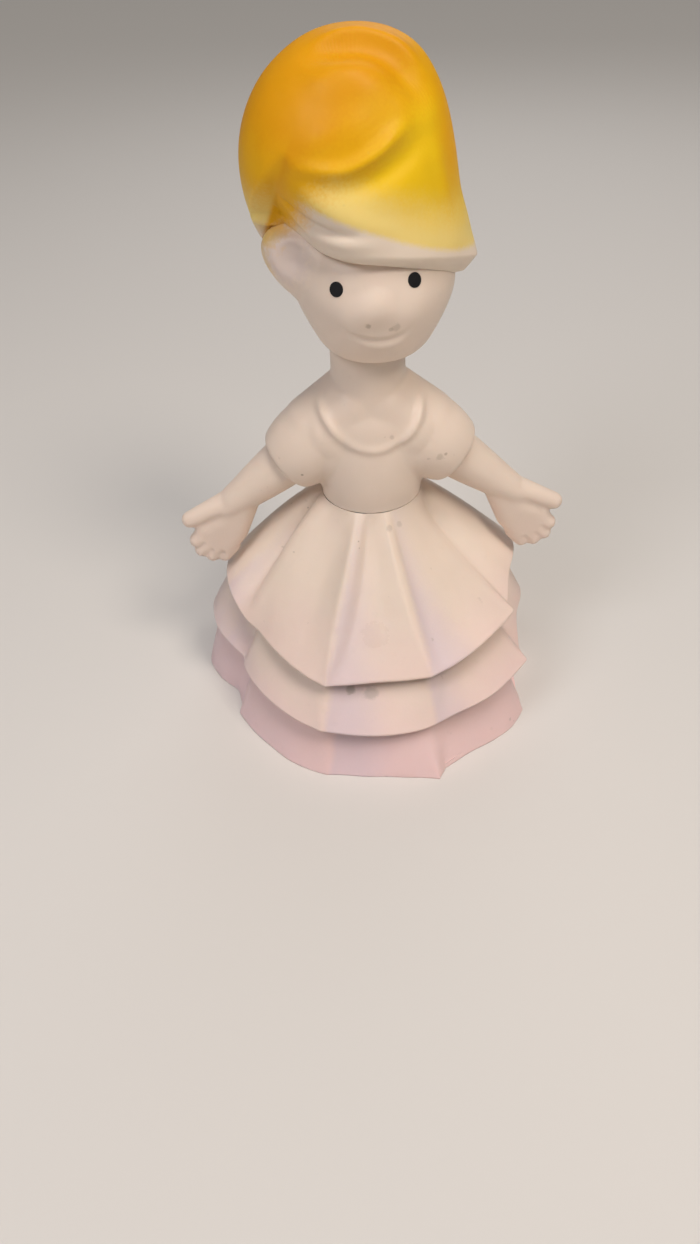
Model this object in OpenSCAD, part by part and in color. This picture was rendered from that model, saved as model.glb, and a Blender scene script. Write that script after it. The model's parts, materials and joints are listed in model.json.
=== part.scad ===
// Vinyl figurine: a doll in a three-tier pleated skirt, with a tall swept-up hairdo.
// Its head, arms and waist turn on snap pegs.
// Millimetres. The origin is on the figure's axis, on the surface it stands on.
// +Z is up, the doll faces -Y, and +X is to the right of someone facing the doll.

/* [Vinyl and fits] */
// Thickness of the moulded vinyl walls
wall = 1.8; // [1.4:0.1:2.2]
// Gap at the glued joins between shells
glue_gap = 0.1; // [0.05:0.05:0.15]
// Gap between pieces that turn against each other
turn_gap = 0.3; // [0.25:0.05:0.5]
// Radial clearance of a peg in the bore that it turns in
peg_fit = 0.05; // [0.02:0.01:0.1]
// Radial clearance of a peg in the bore that it is glued in
seat_fit = 0.02; // [0.01:0.01:0.05]

/* [Skirt] */
// Height of the skirt's top edge above the table
skirt_h = 66.7; // [62:0.1:82]
// Outer radius of the skirt at the waist
waist_r = 13; // [10.5:0.5:13]
// Radius of the upper tier's hem, before its pleats
upper_hem_r = 41; // [34:0.1:50]
// Height of the upper tier's hem above the table
upper_hem_z = 33; // [27:0.1:40]
// How far the middle tier's hem reaches past the upper one's
middle_out = 3.5; // [2:0.1:6]
// Height of the middle tier's hem above the table
middle_hem_z = 17.5; // [14:0.1:21]
// How far the lower tier's hem reaches past the middle one's
lower_out = 1.5; // [0:0.1:5]
// How deep the hems dip between two pleats
fold_depth = 2.2; // [0:0.1:4]
// How much higher the two upper hems stand between two pleats
hem_lift = 1.5; // [0:0.1:3]
// How far each of the two lower tiers reaches up inside the tier above it
tuck = 10.5; // [6:0.5:12]
// Gap between a tier's inner face and the top of the tier tucked under it
nest_gap = 0.5; // [0.3:0.1:1]
// Radius of the air vent in the base plate
vent_r = 3; // [2:0.1:5]

/* [Bodice and neck] */
// Height of the bodice and neck together
torso_h = 40.4; // [33:0.1:49]
// Largest radius of the bodice, near the waist
bodice_r = 13.7; // [12.5:0.1:16]
// Radius of the neck
neck_r = 9; // [7.5:0.1:10]
// Length of the straight neck above the shoulders
neck_h = 11; // [8:0.1:14]
// Radius of the peg at the waist
waist_peg_r = 6; // [4.8:0.1:7]
// Radius of the peg at the neck
neck_peg_r = 4; // [3.2:0.1:4.8]

/* [Sleeves and arms] */
// Distance of a sleeve's hem centre from the figure's axis
sleeve_x = 21.6; // [19:0.1:26]
// Height of a sleeve's hem centre above the bodice's lower edge
sleeve_z = 8.65; // [7:0.05:12]
// Angle of the arms below the horizontal
arm_droop = 38; // [30:1:42]
// Radius of the sleeve at its fullest
sleeve_r = 10.5; // [9.5:0.1:12]
// Half the length of the sleeve's egg shape
sleeve_half_l = 17; // [15:0.5:20]
// Radius of the arm where it enters the sleeve
arm_r = 6.5; // [5.4:0.1:7]
// Radius of the wrist
wrist_r = 4.6; // [3.8:0.1:5.5]
// Length of the arm from the sleeve to the wrist
arm_l = 18.5; // [15:0.5:22]
// Length of the hand from the wrist to the fingertips
hand_l = 20; // [16:0.5:24]
// Thickness of the palm
palm_t = 6; // [5:0.1:7.2]
// Radius of the pegs in the arms
arm_peg_r = 2.5; // [2:0.1:3]

/* [Head and hair] */
// Radius of the head
head_r = 18.2; // [17:0.1:22]
// How far the head sits to the right of the neck's axis
head_x = 1.8; // [0:0.1:2.2]
// How far the head sits forward of the neck's axis
head_y = 1.5; // [0:0.1:2.2]
// How far the head leans towards its right shoulder
head_tilt = 4; // [0:0.5:10]
// Height of the hair's crown above the head's centre
crown_h = 48.9; // [42:0.1:58]
// Radius of an eye
eye_r = 1.55; // [1.2:0.05:2]
// Angle of each eye away from the middle of the face
eye_spread = 28; // [22:1:34]
// Angle of the eyes above the head's centre
eye_rise = 17; // [10:1:20]

/* [Hidden] */

fine = 96;        // segments of a round piece
hull_fn = 32;     // segments of a sphere inside a hull
skirt_n = 80;     // points round a skirt ring
hair_n = 60;      // points round a hair ring
flange_t = 1.5;   // thickness of a peg's flange
flange_lip = 2;   // how far a flange reaches past its bore
far = 200;        // larger than the whole figure

vinyl_cream = [0.93, 0.87, 0.80];
vinyl_pink = [0.88, 0.74, 0.78];
vinyl_rose = [0.90, 0.68, 0.76];
hair_yellow = [0.96, 0.72, 0.20];
eye_black = [0.03, 0.03, 0.03];
peg_white = [0.85, 0.85, 0.82];

function mix(a, b, t) = a + (b - a) * t;
function smooth(t) = t <= 0 ? 0 : t >= 1 ? 1 : t * t * (3 - 2 * t);

// A closed shell between two sets of rings, each listed from the top down, with equal point counts.
// With a capped top both sets end in a small flat cap, and otherwise a rim joins them.
module ring_shell(outer, inner, capped = false) {
    n = len(outer[0]);
    ko = len(outer);
    ki = len(inner);
    base = ko * n;
    pts = [for (ring = outer) each ring, for (ring = inner) each ring];
    function o(k, i) = k * n + i % n;
    function q(k, i) = base + k * n + i % n;
    faces = [
        for (k = [0:ko - 2], i = [0:n - 1]) each
            [[o(k, i), o(k, i + 1), o(k + 1, i + 1)], [o(k, i), o(k + 1, i + 1), o(k + 1, i)]],
        for (k = [0:ki - 2], i = [0:n - 1]) each
            [[q(k, i), q(k + 1, i + 1), q(k, i + 1)], [q(k, i), q(k + 1, i), q(k + 1, i + 1)]],
        for (i = [0:n - 1]) each
            [[o(ko - 1, i), o(ko - 1, i + 1), q(ki - 1, i + 1)],
             [o(ko - 1, i), q(ki - 1, i + 1), q(ki - 1, i)]],
        if (!capped) for (i = [0:n - 1]) each
            [[o(0, i), q(0, i + 1), o(0, i + 1)], [o(0, i), q(0, i), q(0, i + 1)]],
        if (capped) [for (i = [n - 1:-1:0]) o(0, i)],
        if (capped) [for (i = [0:n - 1]) q(0, i)]
    ];
    polyhedron(pts, faces, convexity = 8);
}

// ---- skirt ----
// Pleat crests round the skirt: angle from +X, how far each reaches past the hem's radius on the upper,
// middle and lower tier, and how far it lifts the upper hem. The last crest is the first one again.
crests = [
    [12, -1.5, -1, -1, 7], [50, 1, 1.5, 2, 3], [92, 2, 2, 2.5, 3], [133, 1, 2, 3, 3.5], [175, 0.8, 3, 5.5, 6],
    [203, -2.3, -1.8, -0.8, 1], [249, 0.8, 0.7, -0.6, -1.6], [288, 0.4, 0, 2.5, 0.2], [333, 1, 2.4, 1.3, 4.3],
    [372, -1.5, -1, -1, 7]
];
upper = 1;
middle = 2;
lower = 3;
lift = 4;
function turned(a) = a < crests[0][0] ? a + 360 : a;
function crest_no(a) = max([for (i = [0:len(crests) - 1]) if (crests[i][0] <= a) i]);
// How far along angle a is between its two crests, from 0 to 1.
function between(a) = let (i = crest_no(a)) (a - crests[i][0]) / (crests[i + 1][0] - crests[i][0]);
function crest_value(a, c) = let (b = turned(a), i = crest_no(b))
    mix(crests[i][c], crests[i + 1][c], smooth(between(b)));
function dip(a) = sin(180 * between(turned(a)));   // 0 on a crest, 1 midway between two
function skirt_a(i) = 360 * i / skirt_n;

function hem_r(a, r, tier) = r + crest_value(a, tier) - fold_depth * dip(a);
function hem_z(a, z, share) = z + hem_lift * dip(a) + share * crest_value(a, lift);
// The upper tier bells out at the back: 0 at the front, 1 at the back.
function fullness(a) = 0.5 + 0.5 * sin(a);
bell = 0.82;   // exponent of the flare at the back

// Every tier flares between a top ring and a hem ring.
function upper_r(a, t) = mix(waist_r, hem_r(a, upper_hem_r, upper), t ^ mix(1, bell, fullness(a)));
function upper_z(a, t) = mix(skirt_h, hem_z(a, upper_hem_z, 1), t);
// Fraction of the way down the upper tier at which its middle line has a given height.
function upper_t(a, z) = (skirt_h - z) / (skirt_h - upper_z(a, 1));
// Horizontal thickness of a wall that slopes.
function slope_gap(run, rise) = wall * norm([run, rise]) / abs(rise);

// Each lower tier starts just inside the tier above, and keeps clear of it down to that tier's hem.
function tucked(r, room) = min(r, room - nest_gap);
upper_gap = slope_gap(upper_hem_r - waist_r, skirt_h - upper_hem_z);
function inside_upper(a, z) = upper_r(a, min(1, upper_t(a, z))) - upper_gap;
middle_hem_r = upper_hem_r + middle_out;
middle_top_z = upper_hem_z + tuck;
function middle_z(a, t) = mix(middle_top_z, hem_z(a, middle_hem_z, 0.5), t);
function middle_line(a, t) = mix(inside_upper(a, middle_top_z) - nest_gap, hem_r(a, middle_hem_r, middle), t);
function middle_r(a, t) = let (z = middle_z(a, t))
    z > upper_z(a, 1) ? tucked(middle_line(a, t), inside_upper(a, z)) : middle_line(a, t);
function middle_t(a, z) = (middle_top_z - z) / (middle_top_z - middle_z(a, 1));

middle_gap = slope_gap(middle_hem_r - middle_line(270, 0), middle_top_z - middle_hem_z);
function inside_middle(a, z) = middle_r(a, min(1, middle_t(a, z))) - middle_gap;
lower_hem_r = middle_hem_r + lower_out;
lower_top_z = middle_hem_z + tuck;
function lower_z(t) = lower_top_z * (1 - t);
function lower_line(a, t) = mix(inside_middle(a, lower_top_z) - nest_gap, hem_r(a, lower_hem_r, lower), t);
function lower_r(a, t) = let (z = lower_z(t))
    z > middle_z(a, 1) ? tucked(lower_line(a, t), inside_middle(a, z)) : lower_line(a, t);
lower_gap = slope_gap(lower_hem_r - lower_line(270, 0), lower_top_z);

// A ring of skirt points; r and z are listed for each point.
function skirt_ring(r, z) =
    [for (i = [0:skirt_n - 1]) let (a = skirt_a(i)) [r[i] * cos(a), r[i] * sin(a), z[i]]];
function less(list, d) = [for (v = list) v - d];

// radii[k][i] and heights[k][i] are the outer face at step k and point i, from the top down.
module tier(radii, heights, gap) {
    ring_shell([for (k = [0:len(radii) - 1]) skirt_ring(radii[k], heights[k])],
        [for (k = [0:len(radii) - 1]) skirt_ring(less(radii[k], gap), heights[k])]);
}

tier_steps = 8;
steps_down = [for (k = [0:tier_steps]) k / tier_steps];
angles = [for (i = [0:skirt_n - 1]) skirt_a(i)];

module skirt_upper_tier() {
    color(vinyl_cream) tier([for (t = steps_down) [for (a = angles) upper_r(a, t)]],
        [for (t = steps_down) [for (a = angles) upper_z(a, t)]], upper_gap);
}

module skirt_middle_tier() {
    color(vinyl_pink) tier([for (t = steps_down) [for (a = angles) middle_r(a, t)]],
        [for (t = steps_down) [for (a = angles) middle_z(a, t)]], middle_gap);
}

module skirt_lower_tier() {
    color(vinyl_rose) tier([for (t = steps_down) [for (a = angles) lower_r(a, t)]],
        [for (t = steps_down) [for (a = angles) lower_z(t)]], lower_gap);
}

// ---- base ----
base_t = wall;
vent_y = lower_hem_r / 2;
function base_r(a) = lower_r(a, 1 - base_t / lower_top_z) - lower_gap - glue_gap;

module base_plate() {
    color(vinyl_rose) difference() {
        linear_extrude(base_t) polygon([for (i = [0:skirt_n - 1]) let (a = skirt_a(i))
            [base_r(a) * cos(a), base_r(a) * sin(a)]]);
        translate([0, vent_y, -1]) cylinder(r = vent_r, h = base_t + 2, $fn = fine);
    }
}

// A plug with a flange inside, its foot a little above the table.
module vent_plug() {
    foot = 0.4;
    color(peg_white) translate([0, vent_y, 0]) rotate_extrude($fn = fine) polygon([
        [0, foot], [vent_r - seat_fit, foot], [vent_r - seat_fit, base_t + seat_fit],
        [vent_r + flange_lip, base_t + seat_fit], [vent_r + flange_lip, base_t + flange_t],
        [0, base_t + flange_t]]);
}

// ---- waist ----
socket_t = 4;
module waist_socket() {
    color(peg_white) translate([0, 0, skirt_h - socket_t]) difference() {
        cylinder(r = waist_r - upper_gap - glue_gap, h = socket_t, $fn = fine);
        translate([0, 0, -1]) cylinder(r = waist_peg_r + peg_fit, h = socket_t + 2, $fn = fine);
    }
}

torso_z = skirt_h + turn_gap;
torso_floor = 2.5;

// A spool: its upper flange rests on the bodice's floor, and its lower one turns under the waist socket.
module waist_peg() {
    low = -turn_gap - socket_t - turn_gap;
    big_r = waist_peg_r + flange_lip;
    color(peg_white) translate([0, 0, torso_z]) rotate_extrude($fn = fine) polygon([
        [0, low - flange_t], [big_r, low - flange_t], [big_r, low], [waist_peg_r, low],
        [waist_peg_r, torso_floor], [big_r, torso_floor], [big_r, torso_floor + flange_t],
        [0, torso_floor + flange_t]]);
}

// ---- bodice, neck and sleeves ----
shoulder_z = torso_h - neck_h;
// Outline of bodice and neck: radius and height above the bodice's lower edge.
bodice = [
    [bodice_r - 1.2, 0], [bodice_r - 0.5, 0.7], [bodice_r - 0.2, 3], [bodice_r, 6],
    [bodice_r, 0.38 * shoulder_z], [mix(neck_r, bodice_r, 0.87), 0.58 * shoulder_z],
    [mix(neck_r, bodice_r, 0.6), 0.73 * shoulder_z], [mix(neck_r, bodice_r, 0.22), 0.88 * shoulder_z],
    [neck_r, shoulder_z]
];
chest_top = shoulder_z - 1;

module sleeve_frame() {
    translate([sleeve_x, 0, sleeve_z]) rotate([0, arm_droop, 0]) rotate([0, 90, 0]) children();
}

pocket_l = 3;        // how deep the arm's root sits inside the sleeve
sleeve_floor = 2;    // thickness of the wall that carries the arm's peg
chamber_l = 10;      // hollow behind that wall
egg_back = sleeve_half_l - 7;   // distance from the sleeve's hem back to its fullest place

module sleeve_solid() {
    steps = 16;
    hem_turn = acos(egg_back / sleeve_half_l);
    rotate_extrude($fn = fine) polygon([
        for (k = [0:steps]) let (a = mix(180, hem_turn, k / steps))
            [sleeve_r * sin(a), -egg_back + sleeve_half_l * cos(a)],
        [0, 0]]);
}

module sleeve_hollow() {
    translate([0, 0, -pocket_l]) cylinder(r = arm_r + turn_gap, h = pocket_l + 1, $fn = fine);
    translate([0, 0, -pocket_l - sleeve_floor - 1])
        cylinder(r = arm_peg_r + peg_fit, h = sleeve_floor + 2, $fn = fine);
    translate([0, 0, -pocket_l - sleeve_floor - chamber_l])
        cylinder(r = arm_peg_r + flange_lip + 0.8, h = chamber_l, $fn = fine);
}

module torso_shell() {
    color(vinyl_cream) translate([0, 0, torso_z]) difference() {
        union() {
            rotate_extrude($fn = fine) polygon([[0, 0], each bodice, [neck_r, torso_h], [0, torso_h]]);
            sleeve_frame() sleeve_solid();
            mirror([1, 0, 0]) sleeve_frame() sleeve_solid();
        }
        rotate_extrude($fn = fine) polygon([
            [0, torso_floor], [bodice_r - 2 * wall, torso_floor],
            for (p = bodice) if (p[1] > torso_floor && p[1] < chest_top) [p[0] - wall, p[1]],
            [0, chest_top]]);
        translate([0, 0, -1]) cylinder(r = waist_peg_r + seat_fit, h = torso_floor + 2, $fn = fine);
        translate([0, 0, chest_top - 8])
            cylinder(r = neck_peg_r + seat_fit, h = torso_h, $fn = fine);
        sleeve_frame() sleeve_hollow();
        mirror([1, 0, 0]) sleeve_frame() sleeve_hollow();
    }
}

// ---- neck ----
seat_z = torso_z + torso_h + turn_gap;   // the head's flat underside
head_floor = 2.4;
head_lift = sqrt(head_r ^ 2 - (neck_r + turn_gap + norm([head_x, head_y])) ^ 2);
head_at = [head_x, -head_y, seat_z + head_lift];

// Glued in the neck; its flange turns on the floor inside the head.
module neck_peg() {
    low = torso_z + chest_top + 0.5;
    flange_z = seat_z + head_floor + turn_gap;
    color(peg_white) rotate_extrude($fn = fine) polygon([
        [0, low], [neck_peg_r, low], [neck_peg_r, flange_z], [neck_peg_r + flange_lip, flange_z],
        [neck_peg_r + flange_lip, flange_z + flange_t], [0, flange_z + flange_t]]);
}

// ---- head ----
skull_open_z = 14.5;  // height of the skull's open top above its centre
eye_depth = 0.8;     // how deep an eye sits in the face
eye_proud = 0.15;    // how far an eye stands out of the face

module face_dir(spread, rise) {
    rotate([0, -head_tilt, 0]) rotate([0, 0, spread]) rotate([90 - rise, 0, 0]) children();
}

module head_shell() {
    color(vinyl_cream) difference() {
        translate(head_at) union() {
            sphere(r = head_r, $fn = fine);
            face_dir(0, 7) translate([0, 0, head_r - 0.9]) sphere(r = 2, $fn = fine);
        }
        intersection() {
            translate(head_at) sphere(r = head_r - wall, $fn = fine);
            translate([-far / 2, -far / 2, seat_z + head_floor]) cube(far);
        }
        translate([-far / 2, -far / 2, seat_z - far]) cube(far);
        translate(head_at + [-far / 2, -far / 2, skull_open_z]) cube(far);
        translate([0, 0, seat_z - 1]) cylinder(r = neck_peg_r + peg_fit, h = head_floor + 2, $fn = fine);
        for (side = [-1, 1]) translate(head_at) face_dir(side * eye_spread, eye_rise)
            translate([0, 0, head_r - eye_depth]) cylinder(r = eye_r + seat_fit, h = 4, $fn = fine);
    }
}

// A short round bead whose crown stands a little out of the face.
module eye(side) {
    crown_r = head_r + eye_proud;
    steps = 6;
    rim_turn = asin(eye_r / crown_r);
    color(eye_black) translate(head_at) face_dir(side * eye_spread, eye_rise)
        rotate_extrude($fn = fine) polygon([
            [0, head_r - eye_depth], [eye_r, head_r - eye_depth],
            for (k = [0:steps]) let (a = rim_turn * (1 - k / steps)) [crown_r * sin(a), crown_r * cos(a)]]);
}
module eye_left() { eye(-1); }
module eye_right() { eye(1); }

// ---- hair ----
// Level sections of the hair round the head's centre: height, centre x, centre y, half width, half depth.
hair_sections = [
    [-12, -1.5, 2, head_r - 1.7, head_r - 2.2], [-4, -1.5, 2, head_r + 2.3, head_r + 0.8],
    [4, -1, 1.8, head_r + 4.6, head_r + 2.3], [10, -1.6, 1.8, head_r + 4.8, head_r + 2.6],
    [crown_h - 29.3, -4.1, 2.5, head_r + 4.7, head_r + 2.4], [crown_h - 20.3, -4.9, 3.1, 21.8, 19.6],
    [crown_h - 12, -4.6, 3.5, 19.5, 17.6], [crown_h - 7.6, -4.1, 3.5, 16.8, 15.1],
    [crown_h - 4, -3.5, 3.4, 13.1, 11.8], [crown_h - 1.8, -3.1, 3.1, 9.3, 8.4],
    [crown_h - 0.6, -3, 3, 5.7, 5.2], [crown_h, -3, 3, 0.5, 0.5]
];
hair_last = len(hair_sections) - 1;
function section_no(z) = min(hair_last - 1,
    max([0, for (i = [0:hair_last]) if (hair_sections[i][0] <= z) i]));
function tangent(i, c) = let (a = hair_sections[max(0, i - 1)], b = hair_sections[min(hair_last, i + 1)])
    (b[c] - a[c]) / (b[0] - a[0]);
// Value of column c at height z, on a smooth curve through the sections.
function hair_at(z, c) = let (
    i = section_no(z), a = hair_sections[i], b = hair_sections[i + 1],
    d = b[0] - a[0], t = min(1, (z - a[0]) / d))
    a[c] * (1 - smooth(t)) + b[c] * smooth(t)
    + d * t * (1 - t) * ((1 - t) * tangent(i, c) - t * tangent(i + 1, c));

fringe_z = 10.8;     // height of the fringe's edge above the head's centre
nape_z = -9;         // height of the hair's edge at the nape
fringe_half = 62;    // half angle of the fringe, from the front
temple = 48;         // angle over which the edge falls from the fringe to the nape
fringe_drop = 0.045; // fall of the fringe towards the right, per degree
function signed(p) = p > 180 ? p - 360 : p;
function hair_rim(p) = let (s = signed(p), f = smooth((fringe_half + temple - abs(s)) / temple))
    nape_z + (fringe_z - nape_z) * f - fringe_drop * s * f;

// The fringe starts at a slanting crease on the left, and lies closer to the head from there to the middle.
fringe_in = 5;       // how much closer
function crease(z) = max(-92, 2.4 * z - 117);   // angle of the crease, from the front
function fringe_pull(p, z) = let (s = signed(p))
    fringe_in * smooth((s - crease(z)) / 13) * smooth(-s / 56) * smooth((31 - z) / 19);
function hair_out(p, z) = let (pull = fringe_pull(p, z))
    [hair_at(z, 1) + (hair_at(z, 3) - pull) * sin(p), hair_at(z, 2) - (hair_at(z, 4) - pull) * cos(p), z];
skull_r = head_r + glue_gap;
function skull(p, lat) = skull_r * [cos(lat) * sin(p), -cos(lat) * cos(p), sin(lat)];

module hair_shell() {
    rise = 15;        // rings from the rim to the crown
    land = 14;        // rings along the skull
    dome = 9;         // rings of the hollow above the skull
    hollow = 1 - 1.2 * wall / hair_at(30, 3);
    open_lat = asin((skull_open_z - 0.01) / skull_r);
    heart = [hair_at(skull_open_z, 1), hair_at(skull_open_z, 2), skull_open_z];
    function way(i) = 360 * i / hair_n;
    color(hair_yellow) translate(head_at) ring_shell(
        [for (k = [rise:-1:0]) [for (i = [0:hair_n - 1]) let (p = way(i))
            hair_out(p, mix(hair_rim(p), crown_h, sin(90 * k / rise)))]],
        [
            for (k = [dome:-1:0]) [for (i = [0:hair_n - 1])
                heart + hollow * (hair_out(way(i), mix(skull_open_z, crown_h, sin(90 * k / dome))) - heart)],
            for (k = [land:-1:0]) [for (i = [0:hair_n - 1]) let (p = way(i))
                skull(p, mix(asin(hair_rim(p) / skull_r), open_lat, k / land))]
        ], capped = true);
}

// ---- arms ----
// Places in the hand: distance past the wrist along the arm's axis, and distance above that axis.
thumb_tip = [hand_l * 0.66, 3.4];
fingers = [[hand_l - 2.6, -2.2], [hand_l - 1.6, -5.2], [hand_l - 2.4, -8.1], [hand_l - 4.6, -10.2]];
web = [hand_l * 0.6, 1];
heel = [hand_l * 0.5, -8.4];
finger_r = 2.1;

module arm() {
    root_l = pocket_l - turn_gap;
    at = arm_l;
    difference() {
        union() {
            rotate([0, 90, 0]) rotate_extrude($fn = fine) polygon([
                [0, -root_l], [arm_r, -root_l], [arm_r, 0], [mix(arm_r, wrist_r, 0.45), arm_l / 2],
                [wrist_r, arm_l], [0, arm_l]]);
            hull() {
                translate([at, 0, 0]) scale([0.8, 0.95, 1]) sphere(r = wrist_r, $fn = hull_fn);
                for (f = [each fingers, web, heel]) translate([at + f[0] - 1.2, 0, f[1]])
                    scale([1, palm_t / 2 / finger_r, 1]) sphere(r = finger_r, $fn = hull_fn);
            }
            hull() {
                translate([at + 2, 0, 0.6]) sphere(r = 3.4, $fn = hull_fn);
                translate([at + thumb_tip[0], 0, thumb_tip[1]]) sphere(r = 2.3, $fn = hull_fn);
            }
            for (f = fingers) translate([at + f[0], 0, f[1]]) sphere(r = finger_r, $fn = hull_fn);
        }
        translate([-root_l - 1, 0, 0]) rotate([0, 90, 0])
            cylinder(r = arm_peg_r + seat_fit, h = root_l + 1 + arm_l / 2, $fn = fine);
    }
}

// Glued in the arm; its flange turns behind the sleeve's inner wall.
module arm_peg() {
    flange_z = pocket_l + sleeve_floor + turn_gap;
    color(peg_white) rotate([0, 90, 0]) rotate_extrude($fn = fine) polygon([
        [0, -flange_z - flange_t], [arm_peg_r + flange_lip, -flange_z - flange_t],
        [arm_peg_r + flange_lip, -flange_z], [arm_peg_r, -flange_z], [arm_peg_r, arm_l / 2 - 0.5],
        [0, arm_l / 2 - 0.5]]);
}

module on_right() { translate([sleeve_x, 0, torso_z + sleeve_z]) rotate([0, arm_droop, 0]) children(); }
module on_left() { mirror([1, 0, 0]) on_right() children(); }

module arm_left() { color(vinyl_cream) on_left() arm(); }
module arm_right() { color(vinyl_cream) on_right() arm(); }
module arm_peg_left() { on_left() arm_peg(); }
module arm_peg_right() { on_right() arm_peg(); }

skirt_upper_tier();
skirt_middle_tier();
skirt_lower_tier();
base_plate();
vent_plug();
waist_socket();
torso_shell();
waist_peg();
neck_peg();
head_shell();
hair_shell();
eye_left();
eye_right();
arm_left();
arm_right();
arm_peg_left();
arm_peg_right();
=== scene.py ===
import json
import math

import bmesh
import bpy
import numpy as np
from mathutils import Matrix, Vector


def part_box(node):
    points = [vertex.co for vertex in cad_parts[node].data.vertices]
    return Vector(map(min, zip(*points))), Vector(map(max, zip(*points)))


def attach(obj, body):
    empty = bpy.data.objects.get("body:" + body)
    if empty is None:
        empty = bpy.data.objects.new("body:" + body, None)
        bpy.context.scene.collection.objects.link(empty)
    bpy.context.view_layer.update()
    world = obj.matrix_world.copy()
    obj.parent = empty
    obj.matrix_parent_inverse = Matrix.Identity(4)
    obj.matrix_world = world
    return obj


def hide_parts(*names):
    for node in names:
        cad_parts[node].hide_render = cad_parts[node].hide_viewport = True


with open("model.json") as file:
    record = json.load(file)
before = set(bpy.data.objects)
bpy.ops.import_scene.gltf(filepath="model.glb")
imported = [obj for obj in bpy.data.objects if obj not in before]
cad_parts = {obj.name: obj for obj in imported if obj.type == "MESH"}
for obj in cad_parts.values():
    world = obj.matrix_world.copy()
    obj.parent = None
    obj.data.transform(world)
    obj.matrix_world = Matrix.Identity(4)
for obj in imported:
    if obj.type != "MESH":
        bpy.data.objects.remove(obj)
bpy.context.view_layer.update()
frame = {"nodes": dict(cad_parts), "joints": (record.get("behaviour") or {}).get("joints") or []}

mm = 0.001
scene = bpy.context.scene
joints = {j["name"]: j for j in frame["joints"]}
neckTop = Vector(joints["neck_turn"]["pos_m"])
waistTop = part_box("skirt_upper_tier")[1].z / mm      # the skirt's top edge, in mm
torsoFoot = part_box("torso_shell")[0].z / mm - 0.2    # closes most of the turning gap


def ease(t):
    # 0 up to 1, level at both ends
    t = np.clip(t, 0, 1)
    return t * t * (3 - 2 * t)


def addPiece(name, points, faces):
    # points are in mm
    mesh = bpy.data.meshes.new(name)
    mesh.from_pydata((np.asarray(points) * mm).tolist(), [], faces)
    mesh.validate()
    piece = bpy.data.objects.new(name, mesh)
    scene.collection.objects.link(piece)
    return piece


def gridFaces(rows, cols, closeRows):
    # quads between rings of points, each ring closed on itself
    faces = []
    for k in range(rows if closeRows else rows - 1):
        a, b = k * cols, (k + 1) % rows * cols
        faces += [(a + i, b + i, b + (i + 1) % cols, a + (i + 1) % cols) for i in range(cols)]
    return faces


def loft(name, rings, closeRows=False, capEnds=False):
    # a skin over rings of points, in mm
    rings = np.asarray(rings)
    rows, cols = rings.shape[:2]
    faces = gridFaces(rows, cols, closeRows)
    if capEnds:
        faces += [tuple(range(cols)), tuple(reversed(range((rows - 1) * cols, rows * cols)))]
    piece = addPiece(name, rings.reshape(-1, 3), faces)
    faceOutwards(piece)
    return piece


def faceOutwards(piece):
    bm = bmesh.new()
    bm.from_mesh(piece.data)
    bmesh.ops.recalc_face_normals(bm, faces=bm.faces)
    bm.to_mesh(piece.data)
    bm.free()


def getPoints(piece):
    co = np.empty(len(piece.data.vertices) * 3)
    piece.data.vertices.foreach_get("co", co)
    return co.reshape(-1, 3) / mm


def setPoints(piece, points):
    piece.data.vertices.foreach_set("co", (points * mm).ravel())
    piece.data.update()


def getNormals(piece):
    no = np.empty(len(piece.data.vertices) * 3)
    piece.data.vertex_normals.foreach_get("vector", no)
    return no.reshape(-1, 3)


def applyModifiers(piece):
    shape = piece.evaluated_get(bpy.context.evaluated_depsgraph_get())
    mesh = bpy.data.meshes.new_from_object(shape)
    old = piece.data
    piece.modifiers.clear()
    piece.data = mesh
    mesh.name = piece.name
    bpy.data.meshes.remove(old)


def modify(piece, kind, **settings):
    mod = piece.modifiers.new(kind.lower(), kind)
    for key, value in settings.items():
        setattr(mod, key, value)
    bpy.context.view_layer.update()
    applyModifiers(piece)


def shadeSmooth(piece, angle):
    # smooth everywhere but across edges sharper than angle
    bm = bmesh.new()
    bm.from_mesh(piece.data)
    for face in bm.faces:
        face.smooth = True
    for edge in bm.edges:
        edge.smooth = len(edge.link_faces) != 2 or edge.calc_face_angle(0) < math.radians(angle)
    bm.to_mesh(piece.data)
    bm.free()


def curveThrough(path, steps=60):
    # even points on a smooth curve through the given ones
    p = np.asarray(path, float)
    p = np.vstack([2 * p[0] - p[1], p, 2 * p[-1] - p[-2]])
    out = []
    for i in range(1, len(p) - 2):
        for t in np.linspace(0, 1, steps // (len(p) - 3), endpoint=False):
            out.append(0.5 * (2 * p[i] + (p[i + 1] - p[i - 1]) * t
                              + (2 * p[i - 1] - 5 * p[i] + 4 * p[i + 1] - p[i + 2]) * t ** 2
                              + (3 * p[i] - p[i - 1] - 3 * p[i + 1] + p[i + 2]) * t ** 3))
    return np.array(out + [p[-2]])


def stroke(piece, path, height, width, fade):
    # sculpts a ridge along a curve, or a groove with a height below 0; it fades out at both ends
    line = curveThrough(path)
    points, normals = getPoints(piece), getNormals(piece)
    reach = width * 2.6          # the ridge is flat beyond this
    low, high = line.min(0) - reach, line.max(0) + reach
    near = np.where(((points > low) & (points < high)).all(1))[0]
    dist = np.linalg.norm(points[near, None, :] - line[None, :, :], axis=2)
    closest = dist.argmin(1)
    d = dist[np.arange(len(near)), closest]
    along = closest / (len(line) - 1)
    ends = ease(along / fade) * ease((1 - along) / fade)
    amount = height * np.exp(-(d / width) ** 2) * ends
    points[near] += normals[near] * amount[:, None]
    setPoints(piece, points)


def push(piece, centre, height, radius):
    # a soft swelling (or a hollow, with a height below 0) round a point
    points, normals = getPoints(piece), getNormals(piece)
    d = np.linalg.norm(points - np.asarray(centre, float), axis=1) / radius
    amount = height * (1 - ease(d))
    setPoints(piece, points + normals * amount[:, None])


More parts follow.
